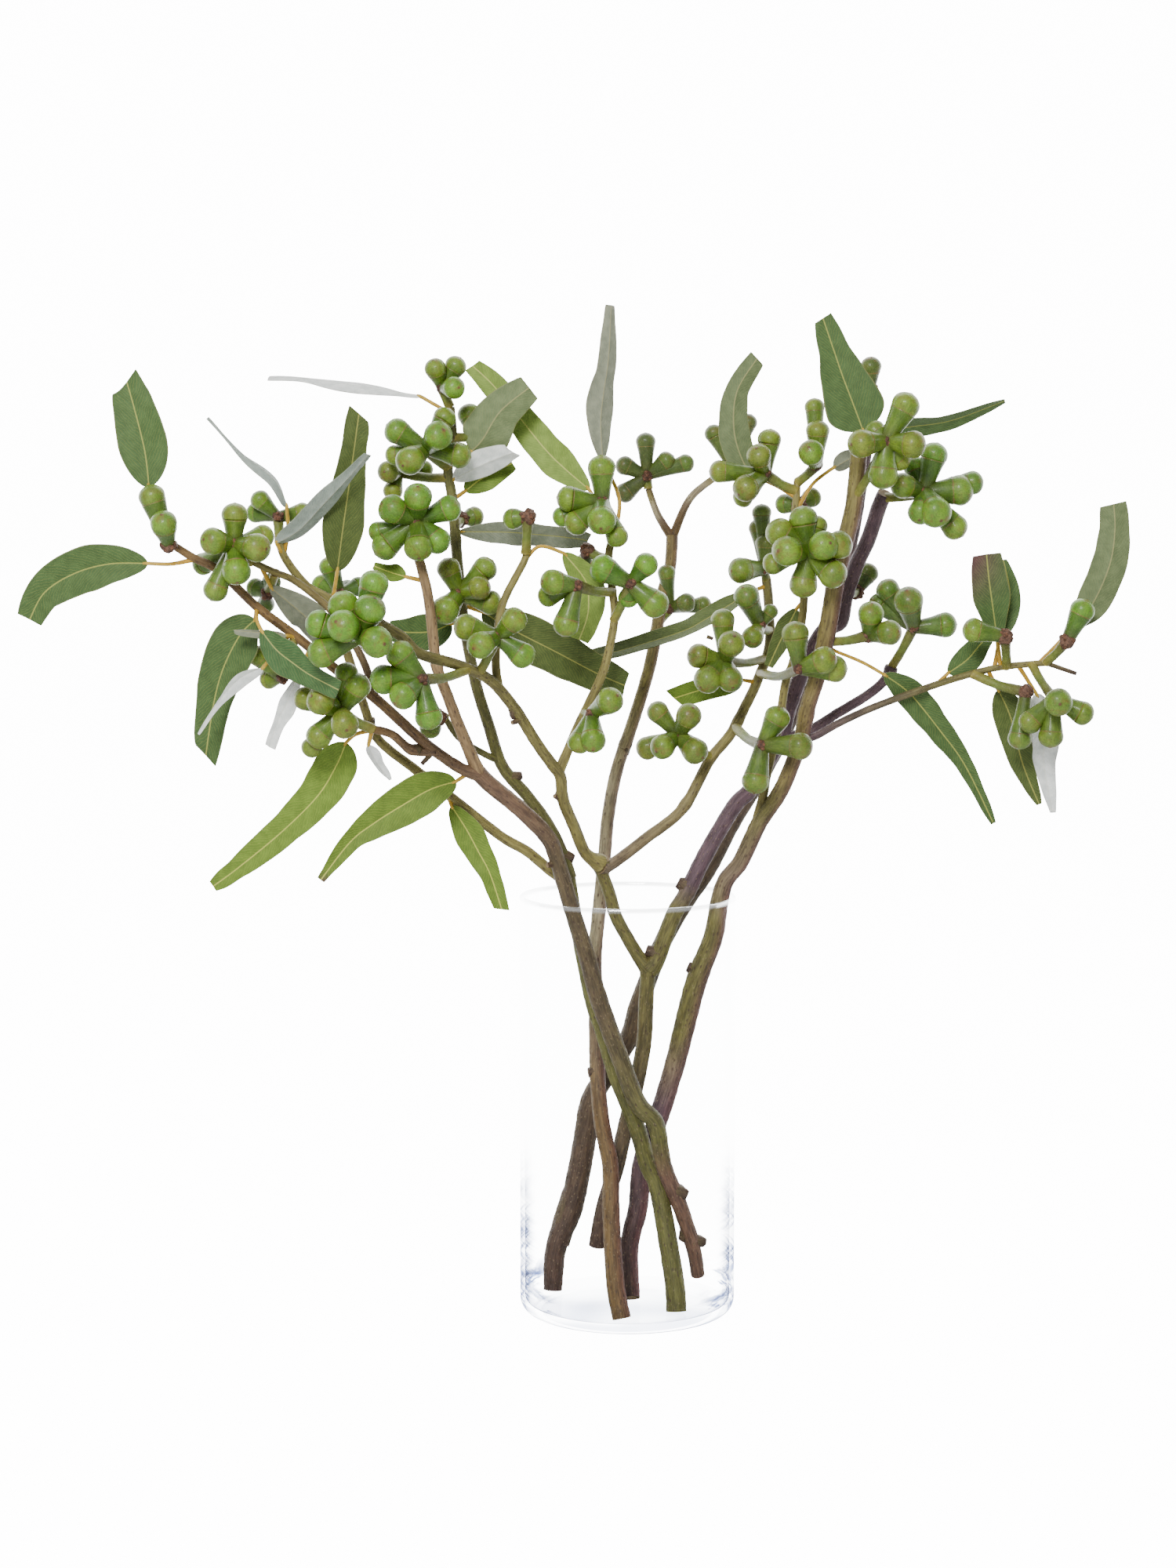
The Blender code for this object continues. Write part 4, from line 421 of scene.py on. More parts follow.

# Bark along each branch, as (share of its length, colour) stops. A branch that isn't named takes
# the stem's.
# Low on each branch, inside the vase, the stops are dark partly as the bark's own colour and partly as
# painted shade for the stems behind the glass.
BARK = {
    "sprig_a": {"stem": ((0, FOOT_BROWN), (0.4, DARK_BROWN), (1, DARK_PURPLE))},
    "sprig_b": {
        "stem": ((0, OLIVE),),
        "foot": ((0, FOOT_BROWN), (0.5, DARK_BROWN), (1, OLIVE)),
        "right": ((0, OLIVE), (0.12, OLIVE), (0.18, DARK_PURPLE)),
        "side": ((0, DARK_PURPLE),),
        "inner": ((0, GREY_BROWN), (0.5, PALE_OLIVE), (1, OLIVE)),
        "front_left": ((0, PALE_OLIVE), (1, OLIVE)),
        "middle_twig": ((0, PALE_OLIVE),),
        "light_twig": ((0, PALE_OLIVE),),
    },
    "sprig_c": {"stem": ((0, RUST_BROWN), (0.25, RUST_BROWN), (0.4, GREY_BROWN), (0.46, PALE_GREY),
                         (0.66, PALE_GREY), (0.8, PALE_OLIVE), (1, OLIVE_WARM))},
    "sprig_d": {
        "stem": ((0, FOOT_BROWN), (0.22, DARK_PURPLE), (0.27, GREY_BROWN), (0.31, OLIVE), (0.44, OLIVE),
                 (0.5, GREY_BROWN), (0.58, OLIVE), (0.65, OLIVE_WARM), (1, PALE_OLIVE)),
        "right": ((0, DARK_PURPLE), (0.6, OLIVE), (1, PALE_OLIVE)),
        "twig": ((0, PALE_OLIVE),),
    },
    "sprig_e": {"stem": ((0, OLIVE_DARK), (0.5, OLIVE_DARK), (1, GREEN_OLIVE)),
                "left": ((0, PALE_OLIVE),)},
    "sprig_f": {
        "stem": ((0, FOOT_TAN), (0.2, FOOT_TAN), (0.27, OLIVE_DARK), (0.5, DARK_BROWN),
                 (0.78, DARK_BROWN), (0.9, WARM_BROWN)),
        "upper": ((0, LIGHT_BROWN),),
        "left": ((0, WARM_BROWN), (0.4, TWIG_BROWN)),
        "low": ((0, WARM_BROWN), (1, TWIG_BROWN)),
        "high": ((0, WARM_BROWN), (1, PALE_OLIVE)),
    },
}
# How strongly a branch's right side is flushed purple.
FLUSH = {("sprig_d", "stem"): 1.0, ("sprig_c", "stem"): 0.7, ("sprig_c", "left"): 0.4}
# Branches that start on nothing; the others swell where they join.
ROOTED = ("stem", "foot", "heel")

# Petiole stubs: x, z, y of the foot, x, z, y of the end, and radius.
STUBS = {
    "sprig_b": [(-31, 245, -34, -34.5, 247, -37, 1.1), (-50, 283, -60, -54.5, 281.5, -63, 1.1)],
    "sprig_d": [(196, 309.7, -20, 210.7, 304.6, -22, 0.9)],
    "sprig_f": [(-91, 268.5, -66, -97, 262, -68, 1.0), (-33, 215.5, -34, -38, 214, -37, 1.3)],
    "sprig_c": [(37, 322, 66, 40, 321, 66, 0.8)],
}

# Each look: base colour, vein colour, how strongly the midrib shows, roughness and gloss.
LOOKS = {
    "dark": (tone(84, 112, 64), tone(186, 190, 96), 0.85, 0.62, 0.2),
    "dusty": (tone(150, 158, 140), tone(190, 190, 110), 0.85, 0.62, 0.2),
    "moss": (tone(120, 136, 94), tone(180, 178, 120), 0.75, 0.62, 0.2),
    "deep": (tone(88, 104, 54), tone(176, 176, 92), 0.8, 0.62, 0.2),
    "blue": (tone(76, 110, 66), tone(186, 190, 112), 0.85, 0.6, 0.2),
    "green": (tone(116, 146, 54), tone(216, 220, 104), 0.9, 0.6, 0.2),
    "lime": (tone(138, 166, 76), tone(216, 220, 124), 0.9, 0.6, 0.2),
    "grey": (tone(152, 158, 138), tone(190, 186, 140), 0.7, 0.62, 0.2),
    "silver": (tone(180, 194, 186), tone(200, 200, 176), 0.6, 0.6, 0.3),
    # The white look paints a whole blade near white: a painted highlight for blades that glare in the
    # light.
    "white": (tone(236, 240, 240, 1.0), tone(222, 222, 208, 1.0), 0.4, 0.6, 0.3),
}
TOP_LOOKS = ("dark", "deep", "blue", "green", "lime", "dusty")

# Each leaf's look towards the eye. Behind it is grey, but dark for the leaves that are numbered.
LEAF_FACES = """dark dark silver white deep silver grey dark white white
    blue grey green green green white green dark deep lime
    dusty white green moss lime grey deep moss grey dark
    dark deep green dark deep white dark dark dark moss""".split()
DARK_BACKS = (2, 5, 6, 11, 23, 25, 26, 27, 28, 35)
# Leaves that turn purple towards the tip, and from what share of the blade.
PURPLE_FROM = {12: 0.94, 36: 0.3}


def seen(x, z, y):
    """The place, in metres, of a point that the eye sees at (x, z) and that lies y deep."""
    flat = Vector((x, 0.0, z))
    return (EYE + (flat - EYE) * (1.0 + y / -EYE.y)) * MM


def route_of(where):
    """The route of a branch given by its sprig's letter and its name."""
    letter, branch = where.split()
    return WOOD["sprig_" + letter][branch][1]


def nearest_on(route, x, z):
    """The spot (x, z, y) on a route that the eye sees nearest to (x, z)."""
    best = None
    for (x0, z0, y0), (x1, z1, y1) in zip(route, route[1:]):
        run = (x1 - x0) ** 2 + (z1 - z0) ** 2
        share = ((x - x0) * (x1 - x0) + (z - z0) * (z1 - z0)) / run
        share = min(max(share, 0.0), 1.0)
        spot = (x0 + (x1 - x0) * share, z0 + (z1 - z0) * share, y0 + (y1 - y0) * share)
        miss = (spot[0] - x) ** 2 + (spot[1] - z) ** 2
        if best is None or miss < best[0]:
            best = (miss, spot)
    return best[1]


def smooth_path(points, steps):
    """Points at even shares along a smooth curve through the given points."""
    path = []
    last = len(points) - 1
    for index in range(steps + 1):
        place_on = index / steps * last
        low = min(int(place_on), last - 1)
        t = place_on - low
        p0 = points[max(low - 1, 0)]
        p1 = points[low]
        p2 = points[low + 1]
        p3 = points[min(low + 2, last)]
        path.append(0.5 * (2 * p1 + (p2 - p0) * t + (2 * p0 - 5 * p1 + 4 * p2 - p3) * t * t
                           + (3 * p1 - p0 - 3 * p2 + p3) * t ** 3))
    return path


def blade_share(t, peak, tip):
    """The blade's width at share t of its length: it swells to its peak, then narrows."""
    if t < peak:
        return BLADE_FOOT + (1.0 - BLADE_FOOT) * math.sin(t / peak * math.pi / 2) ** BLADE_SWELL
    return 1.0 - (1.0 - tip) * ((t - peak) / (1.0 - peak)) ** BLADE_TAPER


def blend(first, second, share):
    share = min(max(share, 0.0), 1.0)
    return tuple(a + (b - a) * share for a, b in zip(first, second))


def ramp(stops, share):
    """The colour at a share along (share, colour) stops."""
    for (low, first), (high, second) in zip(stops, stops[1:]):
        if share <= high:
            return blend(first, second, (share - low) / (high - low))
    return stops[-1][1]


def size_at(sizes, share):
    """The radius at share of a branch's length, from evenly spread sizes."""
    spot = share * (len(sizes) - 1)
    first = min(int(spot), len(sizes) - 2)
    return sizes[first] + (sizes[first + 1] - sizes[first]) * (spot - first)


def link(name, mesh):
    """A new object for the mesh, put in the scene."""
    item = bpy.data.objects.new(name, mesh)
    bpy.context.scene.collection.objects.link(item)
    return item


class Shape:
    """Points and faces with a tint, a blush and a pattern place at each point."""

    def __init__(self):
        self.points = []
        self.faces = []
        self.finishes = []
        self.tints = []
        self.places = []

    def add(self, point, tint, place, blush=0.0):
        self.points.append(tuple(point))
        self.tints.append((*tint, blush))
        self.places.append(tuple(place))
        return len(self.points) - 1

    def face(self, corners, finish):
        self.faces.append(corners)
        self.finishes.append(finish)

    def skin(self, rows, finish, closed):
        """Faces between rows of point numbers; closed rows join end to end."""
        for row, following in zip(rows, rows[1:]):
            count = len(row)
            for index in range(count if closed else count - 1):
                after = (index + 1) % count
                self.face((row[index], row[after], following[after], following[index]), finish)

    def fan(self, row, centre, finish):
        for index in range(len(row)):
            self.face((row[index], row[(index + 1) % len(row)], centre), finish)

    def build(self, name):
        """The finished object, with outward faces and smooth shading."""
        mesh = bpy.data.meshes.new(name)
        mesh.from_pydata(self.points, [], self.faces)
        used = sorted(set(self.finishes))
        for finish in used:
            mesh.materials.append(FINISHES[finish])
        mesh.polygons.foreach_set("material_index", [used.index(f) for f in self.finishes])
        tint = mesh.attributes.new("tint", "FLOAT_COLOR", "POINT")
        tint.data.foreach_set("color", np.array(self.tints, np.float32).ravel())
        place = mesh.attributes.new("place", "FLOAT_VECTOR", "POINT")
        place.data.foreach_set("vector", np.array(self.places, np.float32).ravel())
        work = bmesh.new()
        work.from_mesh(mesh)
        bmesh.ops.recalc_face_normals(work, faces=work.faces)
        work.to_mesh(mesh)
        work.free()
        mesh.shade_smooth()
        return link(name, mesh)


def hand_in(item, slot, *nodes):
    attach(item, "root")
    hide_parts(*nodes)


def limb(shape, spots, radii, tint_at, finish, cut_finish, knots=(), sides=14, flat=1.0,
         rough=0.05, step=1.6):
    """A slightly uneven tube through spots, with radii in millimetres and cut ends."""
    path = []
    sizes = []
    for index in range(len(spots) - 1):
        run = (spots[index + 1] - spots[index]).length / MM
        count = max(2, math.ceil(run / step))
        near = spots[max(index - 1, 0):index + 3]
        piece = smooth_path(near, count * (len(near) - 1))
        first = count if index > 0 else 0
        for turn in range(count):
            path.append(piece[first + turn])
            sizes.append(radii[index] + (radii[index + 1] - radii[index]) * turn / count)
    path.append(spots[-1])
    sizes.append(radii[-1])
    last = len(path) - 1
    ahead = (path[1] - path[0]).normalized()
    side = ahead.orthogonal().normalized()
    rows = []
    along = 0.0
    for index, (point, size) in enumerate(zip(path, sizes)):
        new_ahead = (path[min(index + 1, last)] - path[max(index - 1, 0)]).normalized()
        side = (ahead.rotation_difference(new_ahead).to_matrix() @ side).normalized()
        ahead = new_ahead
        up = ahead.cross(side)
        if index > 0:
            along += (point - path[index - 1]).length / MM
        for centre, knot in knots:
            gap = (point - centre).length / MM
            size += max(knot - size, 0.4) * math.exp(-(gap / (0.9 * knot)) ** 2)
        row = []
        for turn in range(sides):
            angle = 2 * math.pi * turn / sides
            out = side * math.cos(angle) + up * math.sin(angle) * flat
            place = (math.cos(angle) * size, math.sin(angle) * size, along)
            bumps = noise.noise(point / MM * 0.35 + out * 1.5) * rough
            bumps += noise.noise(point / MM * 0.9 + out * 3.0) * rough * 0.4
            spot = point + out * size * (1.0 + bumps) * MM
            row.append(shape.add(spot, tint_at(index / last, out), place))
        rows.append(row)
    shape.skin(rows, finish, True)
    for row, centre in ((rows[0], path[0]), (rows[-1], path[-1])):
        ring = []
        for number in row:
            spot = Vector(shape.points[number])
            ring.append(shape.add(spot, CUT_TINT, (*(spot - centre).xz / MM, 0.0)))
        middle = shape.add(centre, CUT_TINT, (0.0, 0.0, 0.0))
        shape.skin([row, ring], finish, True)
        shape.fan(ring, middle, cut_finish)


def lump(shape, centre, radius, tint, seed, rough, level):
    """A knobbly ball of hub skin."""
    work = bmesh.new()
    bmesh.ops.create_icosphere(work, subdivisions=level, radius=1.0)
    start = len(shape.points)
    for vertex in work.verts:
        out = vertex.co.normalized()
        bumps = noise.noise(out * 1.9 + Vector((seed, 0.3, seed))) * rough
        place = out * radius + Vector((seed * 7.0, 0.0, 0.0))
        shape.add(centre + out * radius * (1.0 + bumps) * MM, tint, place)
    for face in work.faces:
        shape.face(tuple(start + vertex.index for vertex in face.verts), "hub")
    work.free()


def make_wood(name):
    """The wood of one sprig: branches, swellings and stubs."""
    shape = Shape()
    knots = [(seen(x, z, y), radius) for x, z, y, radius in KNOTS.get(name, [])]
    for branch, (thickness, route) in WOOD[name].items():
        stops = BARK[name].get(branch, BARK[name]["stem"])
        flush = FLUSH.get((name, branch), 0.0)
        last = len(route) - 1
        radii = [size_at(thickness, index / last) for index in range(last + 1)]
        if branch not in ROOTED:
            radii[0] *= JOINT_SWELL

        def tint_at(share, out, stops=stops, flush=flush):
            return blend(ramp(stops, share), FLUSH_TINT, max(out.x, 0.0) * flush)

        limb(shape, [seen(*spot) for spot in route], radii, tint_at, "bark", "cut_wood",
             knots=knots, sides=18)
    for centre, radius in knots:
        foot = min((seen(*nearest_on(route, centre.x / MM, centre.z / MM))
                    for _, route in WOOD[name].values()), key=lambda spot: (spot - centre).length)
        out = centre - foot
        if out.length > KNOB_REACH * MM:
            tip = centre + out.normalized() * radius * 0.45 * MM
            limb(shape, [foot, foot + out * 0.6, tip], [radius * 1.05, radius * 0.85, radius * 0.6],
                 lambda share, out: blend(*KNOB_TINTS, share), "bark", "cut_wood", sides=12,
                 rough=0.22, step=0.8)
    for stub in STUBS.get(name, []):
        radius = stub[6]
        limb(shape, [seen(*stub[:3]), seen(*stub[3:6])], [radius * 1.3, radius],
             lambda share, out: blend(STUB_TINT, KNOT_TINT, share), "bark", "cut_wood", sides=10)
    return shape.build("wood_" + name[-1])


def add_leaf(shape, index, spec):
    """One leaf: a petiole and a folded, waved blade with a midrib, cut across at its tip."""
    where, tip_depth, width, roll_base, roll_tip, peak, tip, slant, stalk_points, route = spec
    face_look = LEAF_FACES[index]
    back_look = "dark" if index in DARK_BACKS else "grey"
    purple_from = PURPLE_FROM.get(index)
    chance = random.Random(index + 11)
    base_depth = nearest_on(route_of(where), *route[0])[2]
    last = len(route) - 1
    spots = [seen(x, z, base_depth + (tip_depth - base_depth) * number / last)
             for number, (x, z) in enumerate(route)]
    path = smooth_path(spots[stalk_points:], BLADE_ROWS)
    stalk = spots[:stalk_points + 1] + [path[2]]
    limb(shape, stalk, [1.15] + [0.85] * (len(stalk) - 2) + [0.4],
         lambda share, out: blend(*STALK_TINTS, share), "stalk", "stalk", sides=8, rough=0.08)
    top_faces_eye = 1.0 if face_look in TOP_LOOKS else -1.0
    fold = math.radians(chance.uniform(6.0, 13.0)) * top_faces_eye
    phase = chance.uniform(0.0, 6.28)
    wave = chance.uniform(0.25, 0.6)
    shade = chance.uniform(0.92, 1.08)
    faces = []
    for facing, look in ((1.0, face_look), (-1.0, back_look)):
        shaded = tuple(part * shade for part in LOOKS[look][0])
        under = facing * top_faces_eye < 0.0
        rows = []
        along = 0.0
        for number, point in enumerate(path):
            share = number / BLADE_ROWS
            ahead = (path[min(number + 1, BLADE_ROWS)] - path[max(number - 1, 0)]).normalized()
            across = ahead.cross(Vector((0.0, 1.0, 0.0))).normalized()
            turned = (stalk_points + share * BLADE_PARTS) / (stalk_points + BLADE_PARTS)
            roll = math.radians(roll_base + (roll_tip - roll_base) * turned)
            side = (Matrix.Rotation(roll, 3, ahead) @ across).normalized()
            normal = ahead.cross(side).normalized()
            half = width * 0.5 * blade_share(share, peak, tip)
            if number > 0:
                along += (point - path[number - 1]).length / MM
            row = []
            for s in BLADE_COLUMNS:
                rise = abs(s) * half * math.sin(fold)
                rise += wave * abs(s) ** 2 * math.sin(share * 11.0 + phase + s)
                skin = BLADE_MIDDLE + (BLADE_EDGE - BLADE_MIDDLE) * abs(s)
                rib = math.exp(-(s * half / RIB_WIDTH) ** 2) * (1.0 - 0.6 * share)
                lift = skin * 0.5 + rib * (RIB_LIFT if under else -RIB_DIP)
                reach = half * math.cos(fold) * s + RIM_WAVER * noise.noise(point / MM * 0.11) * s
                spot = point + side * reach * MM + normal * (rise + facing * lift) * MM
                spot += ahead * slant * s * max(share - CUT_FROM, 0.0) / (1.0 - CUT_FROM) * MM
                tint = shaded
                if purple_from is not None:
                    turn = (share - purple_from) / (1.0 - purple_from)
                    tint = blend(tint, PURPLE_TIP, turn * (0.75 + 0.5 * s))
                row.append(shape.add(spot, tint, (s, along, half)))
            rows.append(row)
        shape.skin(rows, look, False)
        faces.append(rows)
    front, back = faces
    for row, other in ((front[0], back[0]), (front[-1], back[-1]),
                       ([r[0] for r in front], [r[0] for r in back]),
                       ([r[-1] for r in front], [r[-1] for r in back])):
        shape.skin([row, other], "leaf_rim", False)


def add_nut(shape, base, centre, radius, chance, ripe, dull_and_rear_shade):
    """A club-shaped bud: a tapering cup, a rim crease and a domed cap with a small point."""
    axis = centre - base
    length = axis.length / MM
    ahead = axis.normalized()
    side = ahead.orthogonal().normalized()
    up = ahead.cross(side)
    offset = Vector([chance.uniform(0, 90) for _ in range(3)])
    warm = min(max(ripe + chance.uniform(-0.3, 0.3), 0.0), 1.0)
    # Painted shade: the cup and cap are darkened towards a dull green by a share worked out from the hub's
    # depth, with a random spread.
    dull_and_rear_shade = min(max(dull_and_rear_shade + chance.uniform(-0.2, 0.2), 0.0), 1.0)
    cup = blend(blend(NUT_CUP, NUT_WARM, warm * 0.5), NUT_DULL_SHADE, dull_and_rear_shade)
    cap = blend(blend(NUT_GREEN, NUT_WARM, warm), NUT_DULL_SHADE, dull_and_rear_shade)
    crease = -0.5 + chance.uniform(-0.06, 0.08)
    lean = chance.uniform(-0.03, 0.03)
    neck = NECK_SHARE + chance.uniform(-0.03, 0.04)
    taper = length / radius + crease - 0.06
    # Each ring: its size and its height as shares of the radius, its tint and its blush.
    profile = []
    for number in range(NECK_ROWS + 1):
        share = number / NECK_ROWS
        size = neck + (0.9 - neck) * (0.7 * share + 0.3 * share ** 3)
        profile.append((size, taper * share, blend(NUT_NECK, cup, share * 1.6), 0.0))
    for size, above, tint, blush in ((0.925, 0.0, cup, 0.5), (0.92, 0.035, NUT_CREASE, 0.8),
                                     (0.908, 0.06, NUT_CREASE, 0.8), (0.93, 0.1, cap, 0.6)):
        profile.append((size, length / radius + crease + above, tint, blush))
    for number in range(CAP_ROWS):
        share = number / CAP_ROWS
        angle = math.radians(-20.0 + 108.0 * share)
        rise = math.sin(angle) * (0.88 if angle > 0 else 1.0)
        profile.append((math.cos(angle), length / radius + rise, cap, 0.3 + 0.7 * share ** 2))
    profile.append((0.07, length / radius + 0.905, NUT_TIP, 1.0))
    rows = []
    for size, height, tint, blush in profile:
        row = []
        for turn in range(NUT_SIDES):
            angle = 2 * math.pi * turn / NUT_SIDES
            out = side * math.cos(angle) + up * math.sin(angle)
            local = Vector((math.cos(angle) * size, math.sin(angle) * size, height)) * radius
            bumps = noise.noise((local + offset) * 0.22) * 0.035
            bumps += lean * math.cos(angle) * (local.z / length)
            spot = base + (ahead * local.z + out * size * radius * (1.0 + bumps)) * MM
            row.append(shape.add(spot, tint, local + offset, blush))
        rows.append(row)
    shape.skin(rows, "nut", True)
    foot = shape.add(base, NUT_NECK, offset)
    shape.fan(rows[0], foot, "nut")
    top = shape.add(base + ahead * (length + 0.92 * radius) * MM, NUT_TIP, offset, 1.0)
    shape.fan(rows[-1], top, "nut")


def make_umbel(number, spec):
    """A flattened stalk, a knobbly hub and its nuts."""
    where, foot, hub, nuts = spec
    chance = random.Random(number * 17)
    shape = Shape()
    start = seen(*nearest_on(route_of(where), *foot))
    centre = seen(*hub)
    # Painted shade: nuts on hubs further back are darkened towards a dull green.
    dull_and_rear_shade = min(max((hub[2] + 60.0) / 150.0, 0.0), 1.0) * 0.8
    ripe = 0.1 if number in GREENEST else chance.uniform(0.2, 0.85)
    run = centre - start
    bow = Vector((0.0, 0.0, -0.04 * run.length))
    stops = tuple(zip((0.0, 0.45, 1.0), PEDUNCLE_TINTS))
    limb(shape, [start, start + run * 0.5 + bow, centre], [2.5, 2.3, 3.0],
         lambda share, out: ramp(stops, share), "stalk", "stalk", flat=0.85, rough=0.06, step=1.2)
    bare = len(nuts) < 3
    towards_eye = (EYE * MM - centre).normalized()
    front = centre + towards_eye * (BARE_HUB_FORWARD if bare else HUB_FORWARD) * MM
    size = BARE_HUB_RADIUS if bare else HUB_RADIUS
    lump(shape, front, size, BARE_HUB_TINT if bare else HUB_TINT, number * 0.61, 0.4, 3)
    for turn in range(7 if bare else 4):
        way = Vector([chance.uniform(-1.0, 1.0) for _ in range(3)])
        way.y = -abs(way.y)
        lump(shape, front + way.normalized() * size * 0.85 * MM, chance.uniform(0.8, 1.3), SCAR_TINT,
             number + turn * 0.3, 0.3, 2)
    for x, z, radius, *behind in nuts:
        reach = math.hypot(x - hub[0], z - hub[1])
        depth = behind[0] if behind else -math.sqrt(max((NUT_LENGTH * radius) ** 2
                                                        - reach ** 2, 1.0))
        add_nut(shape, centre, seen(x, z, hub[2] + depth), radius * NUT_SWELL, chance, ripe, dull_and_rear_shade)
    return shape.build(f"umbel_{number:02d}")


class Signal:
    """A number from a shader node. Plain arithmetic on it adds maths nodes."""

    def __init__(self, net, socket):
        self.net = net
        self.socket = socket

    def maths(self, operation, *others):
        node = self.net.add("ShaderNodeMath", enumerate((self, *others)), operation=operation)
        return Signal(self.net, node.outputs[0])

    def __add__(self, other):
        return self.maths("ADD", other)

    def __sub__(self, other):
        return self.maths("SUBTRACT", other)

    def __mul__(self, other):
        return self.maths("MULTIPLY", other)

    def between(self, low, high):
        """0 below low, 1 above high, smooth between; low may be the larger."""
        node = self.net.add("ShaderNodeMapRange", {"Value": self, "From Min": low, "From Max": high},
                            interpolation_type="SMOOTHSTEP")
        return Signal(self.net, node.outputs["Result"])


class Net:
    """The shader nodes of a material or world."""

    def __init__(self, owner):
        owner.use_nodes = True
        self.owner = owner
        self.tree = owner.node_tree

    def feed(self, node, key, value):
        """Links an input to a socket or a signal, or sets it to a value."""
        if isinstance(value, Signal):
            value = value.socket
        if isinstance(value, bpy.types.NodeSocket):
            self.tree.links.new(value, node.inputs[key])
        else:
            node.inputs[key].default_value = value

    def add(self, kind, inputs=(), **settings):
        """A new node with its settings and inputs."""
        node = self.tree.nodes.new(kind)
        for key, value in settings.items():
            setattr(node, key, value)
        for key, value in dict(inputs).items():
            self.feed(node, key, value)
        return node

    def mixed(self, share, first, second, kind="MIX"):
        inputs = {0: share, 6: first, 7: second}
        for key, value in inputs.items():
            if isinstance(value, tuple):
                inputs[key] = (*value, 1.0)
        return self.add("ShaderNodeMix", inputs, data_type="RGBA", blend_type=kind).outputs[2]

    def shaded(self, colour, share, low, high):
        """The colour multiplied by a factor from low to high."""
        return self.mixed(1.0, colour, self.mixed(share, low, high), "MULTIPLY")

    def attributes(self):
        """The tint, blush and pattern place that Shape stores at each point."""
        tint = self.add("ShaderNodeAttribute", attribute_name="tint")
        place = self.add("ShaderNodeAttribute", attribute_name="place")
        return tint.outputs["Color"], Signal(self, tint.outputs["Alpha"]), place.outputs["Vector"]

    def parts(self, vector):
        node = self.add("ShaderNodeSeparateXYZ", {0: vector})
        return [Signal(self, socket) for socket in node.outputs]

    def pattern(self, kind, output, vector, scale, **inputs):
        """A texture at one scale, or at three scales for x, y and z."""
        if isinstance(scale, tuple):
            vector = self.add("ShaderNodeVectorMath", {0: vector, 1: scale},
                              operation="MULTIPLY").outputs[0]
            scale = 1.0
        node = self.add(kind, {"Vector": vector, "Scale": scale, **inputs})
        return Signal(self, node.outputs[output])

    def cloud(self, vector, scale, detail=3.0):
        return self.pattern("ShaderNodeTexNoise", "Fac", vector, scale, Detail=detail)

    def cells(self, vector, scale):
        return self.pattern("ShaderNodeTexVoronoi", "Distance", vector, scale)

    def finish(self, surface, height, strength, distance):
        """The material, with its surface values and a fine relief."""
        bump = self.add("ShaderNodeBump", {"Height": height, "Strength": strength,
                                           "Distance": distance})
        shader = self.tree.nodes["Principled BSDF"]
        for key, value in {**surface, "Normal": bump.outputs["Normal"]}.items():
            self.feed(shader, key, value)
        return self.owner


def new_net(name):
    return Net(bpy.data.materials.new(name))


def wood_finish():
    """Bark: streaks along the branch, pale dots, dark dashes and shallow cracks."""
    net = new_net("bark")
    tint, _, place = net.attributes()
    streaks = net.cloud(place, (1.3, 1.3, 0.12))
    blotches = net.cloud(place, (0.35, 0.35, 0.1))
    grain = net.cloud(place, (4.0, 4.0, 1.2))
    spots = net.cells(place, (0.75, 0.75, 0.38)).between(0.24, 0.12)
    dashes = net.cells(place, (0.5, 0.5, 0.24)).between(0.26, 0.14)
    value = streaks.between(0.3, 0.7) * 0.55 + blotches.between(0.35, 0.65) * 0.45
    colour = net.shaded(tint, value, (0.52, 0.49, 0.5), (1.4, 1.37, 1.28))
    colour = net.mixed(spots * 0.4, colour, PALE_SPOT)
    colour = net.mixed(dashes * 0.6, colour, DARK_DASH)
    surface = {"Base Color": colour, "Roughness": grain * 0.25 + 0.5, "Specular IOR Level": 0.35}
    return net.finish(surface, streaks * 0.8 + (spots * 0.3 + grain * 0.35), 0.55, 0.0006)


def leaf_finish(name, vein, vein_share, roughness, gloss):
    """A blade: midrib, fine side veins, mottling, a pale margin and a few specks."""
    net = new_net(name)
    tint, _, place = net.attributes()
    side, along, half = net.parts(place)
    reach = side.maths("ABSOLUTE")
    across = reach * half
    flat = net.add("ShaderNodeCombineXYZ", {"X": side * half, "Y": along}).outputs[0]
    mottle = net.cloud(flat, 0.22)
    fine = net.cloud(flat, 1.1)
    comb = ((along - across * 1.5 + mottle * 5.0) * 3.1).maths("SINE")
    side_veins = comb.between(0.55, 1.0) * reach.between(1.0, 0.75)
    colour = net.shaded(tint, mottle.between(0.3, 0.7), (0.84, 0.86, 0.84), (1.14, 1.13, 1.1))
    colour = net.mixed(side_veins * 0.16, colour, vein)
    colour = net.mixed(net.cloud(flat, 0.9, 2.0).between(0.74, 0.8) * 0.5, colour, LEAF_SPECK)
    colour = net.mixed(reach.between(0.93, 1.0) * 0.55, colour, LEAF_MARGIN)
    colour = net.mixed(across.between(0.42, 0.14) * vein_share, colour, vein)
    surface = {"Base Color": colour, "Roughness": fine * 0.2 + (roughness - 0.1),
               "Specular IOR Level": gloss}
    return net.finish(surface, side_veins * -0.5 + fine * 0.5, 0.35, 0.0003)


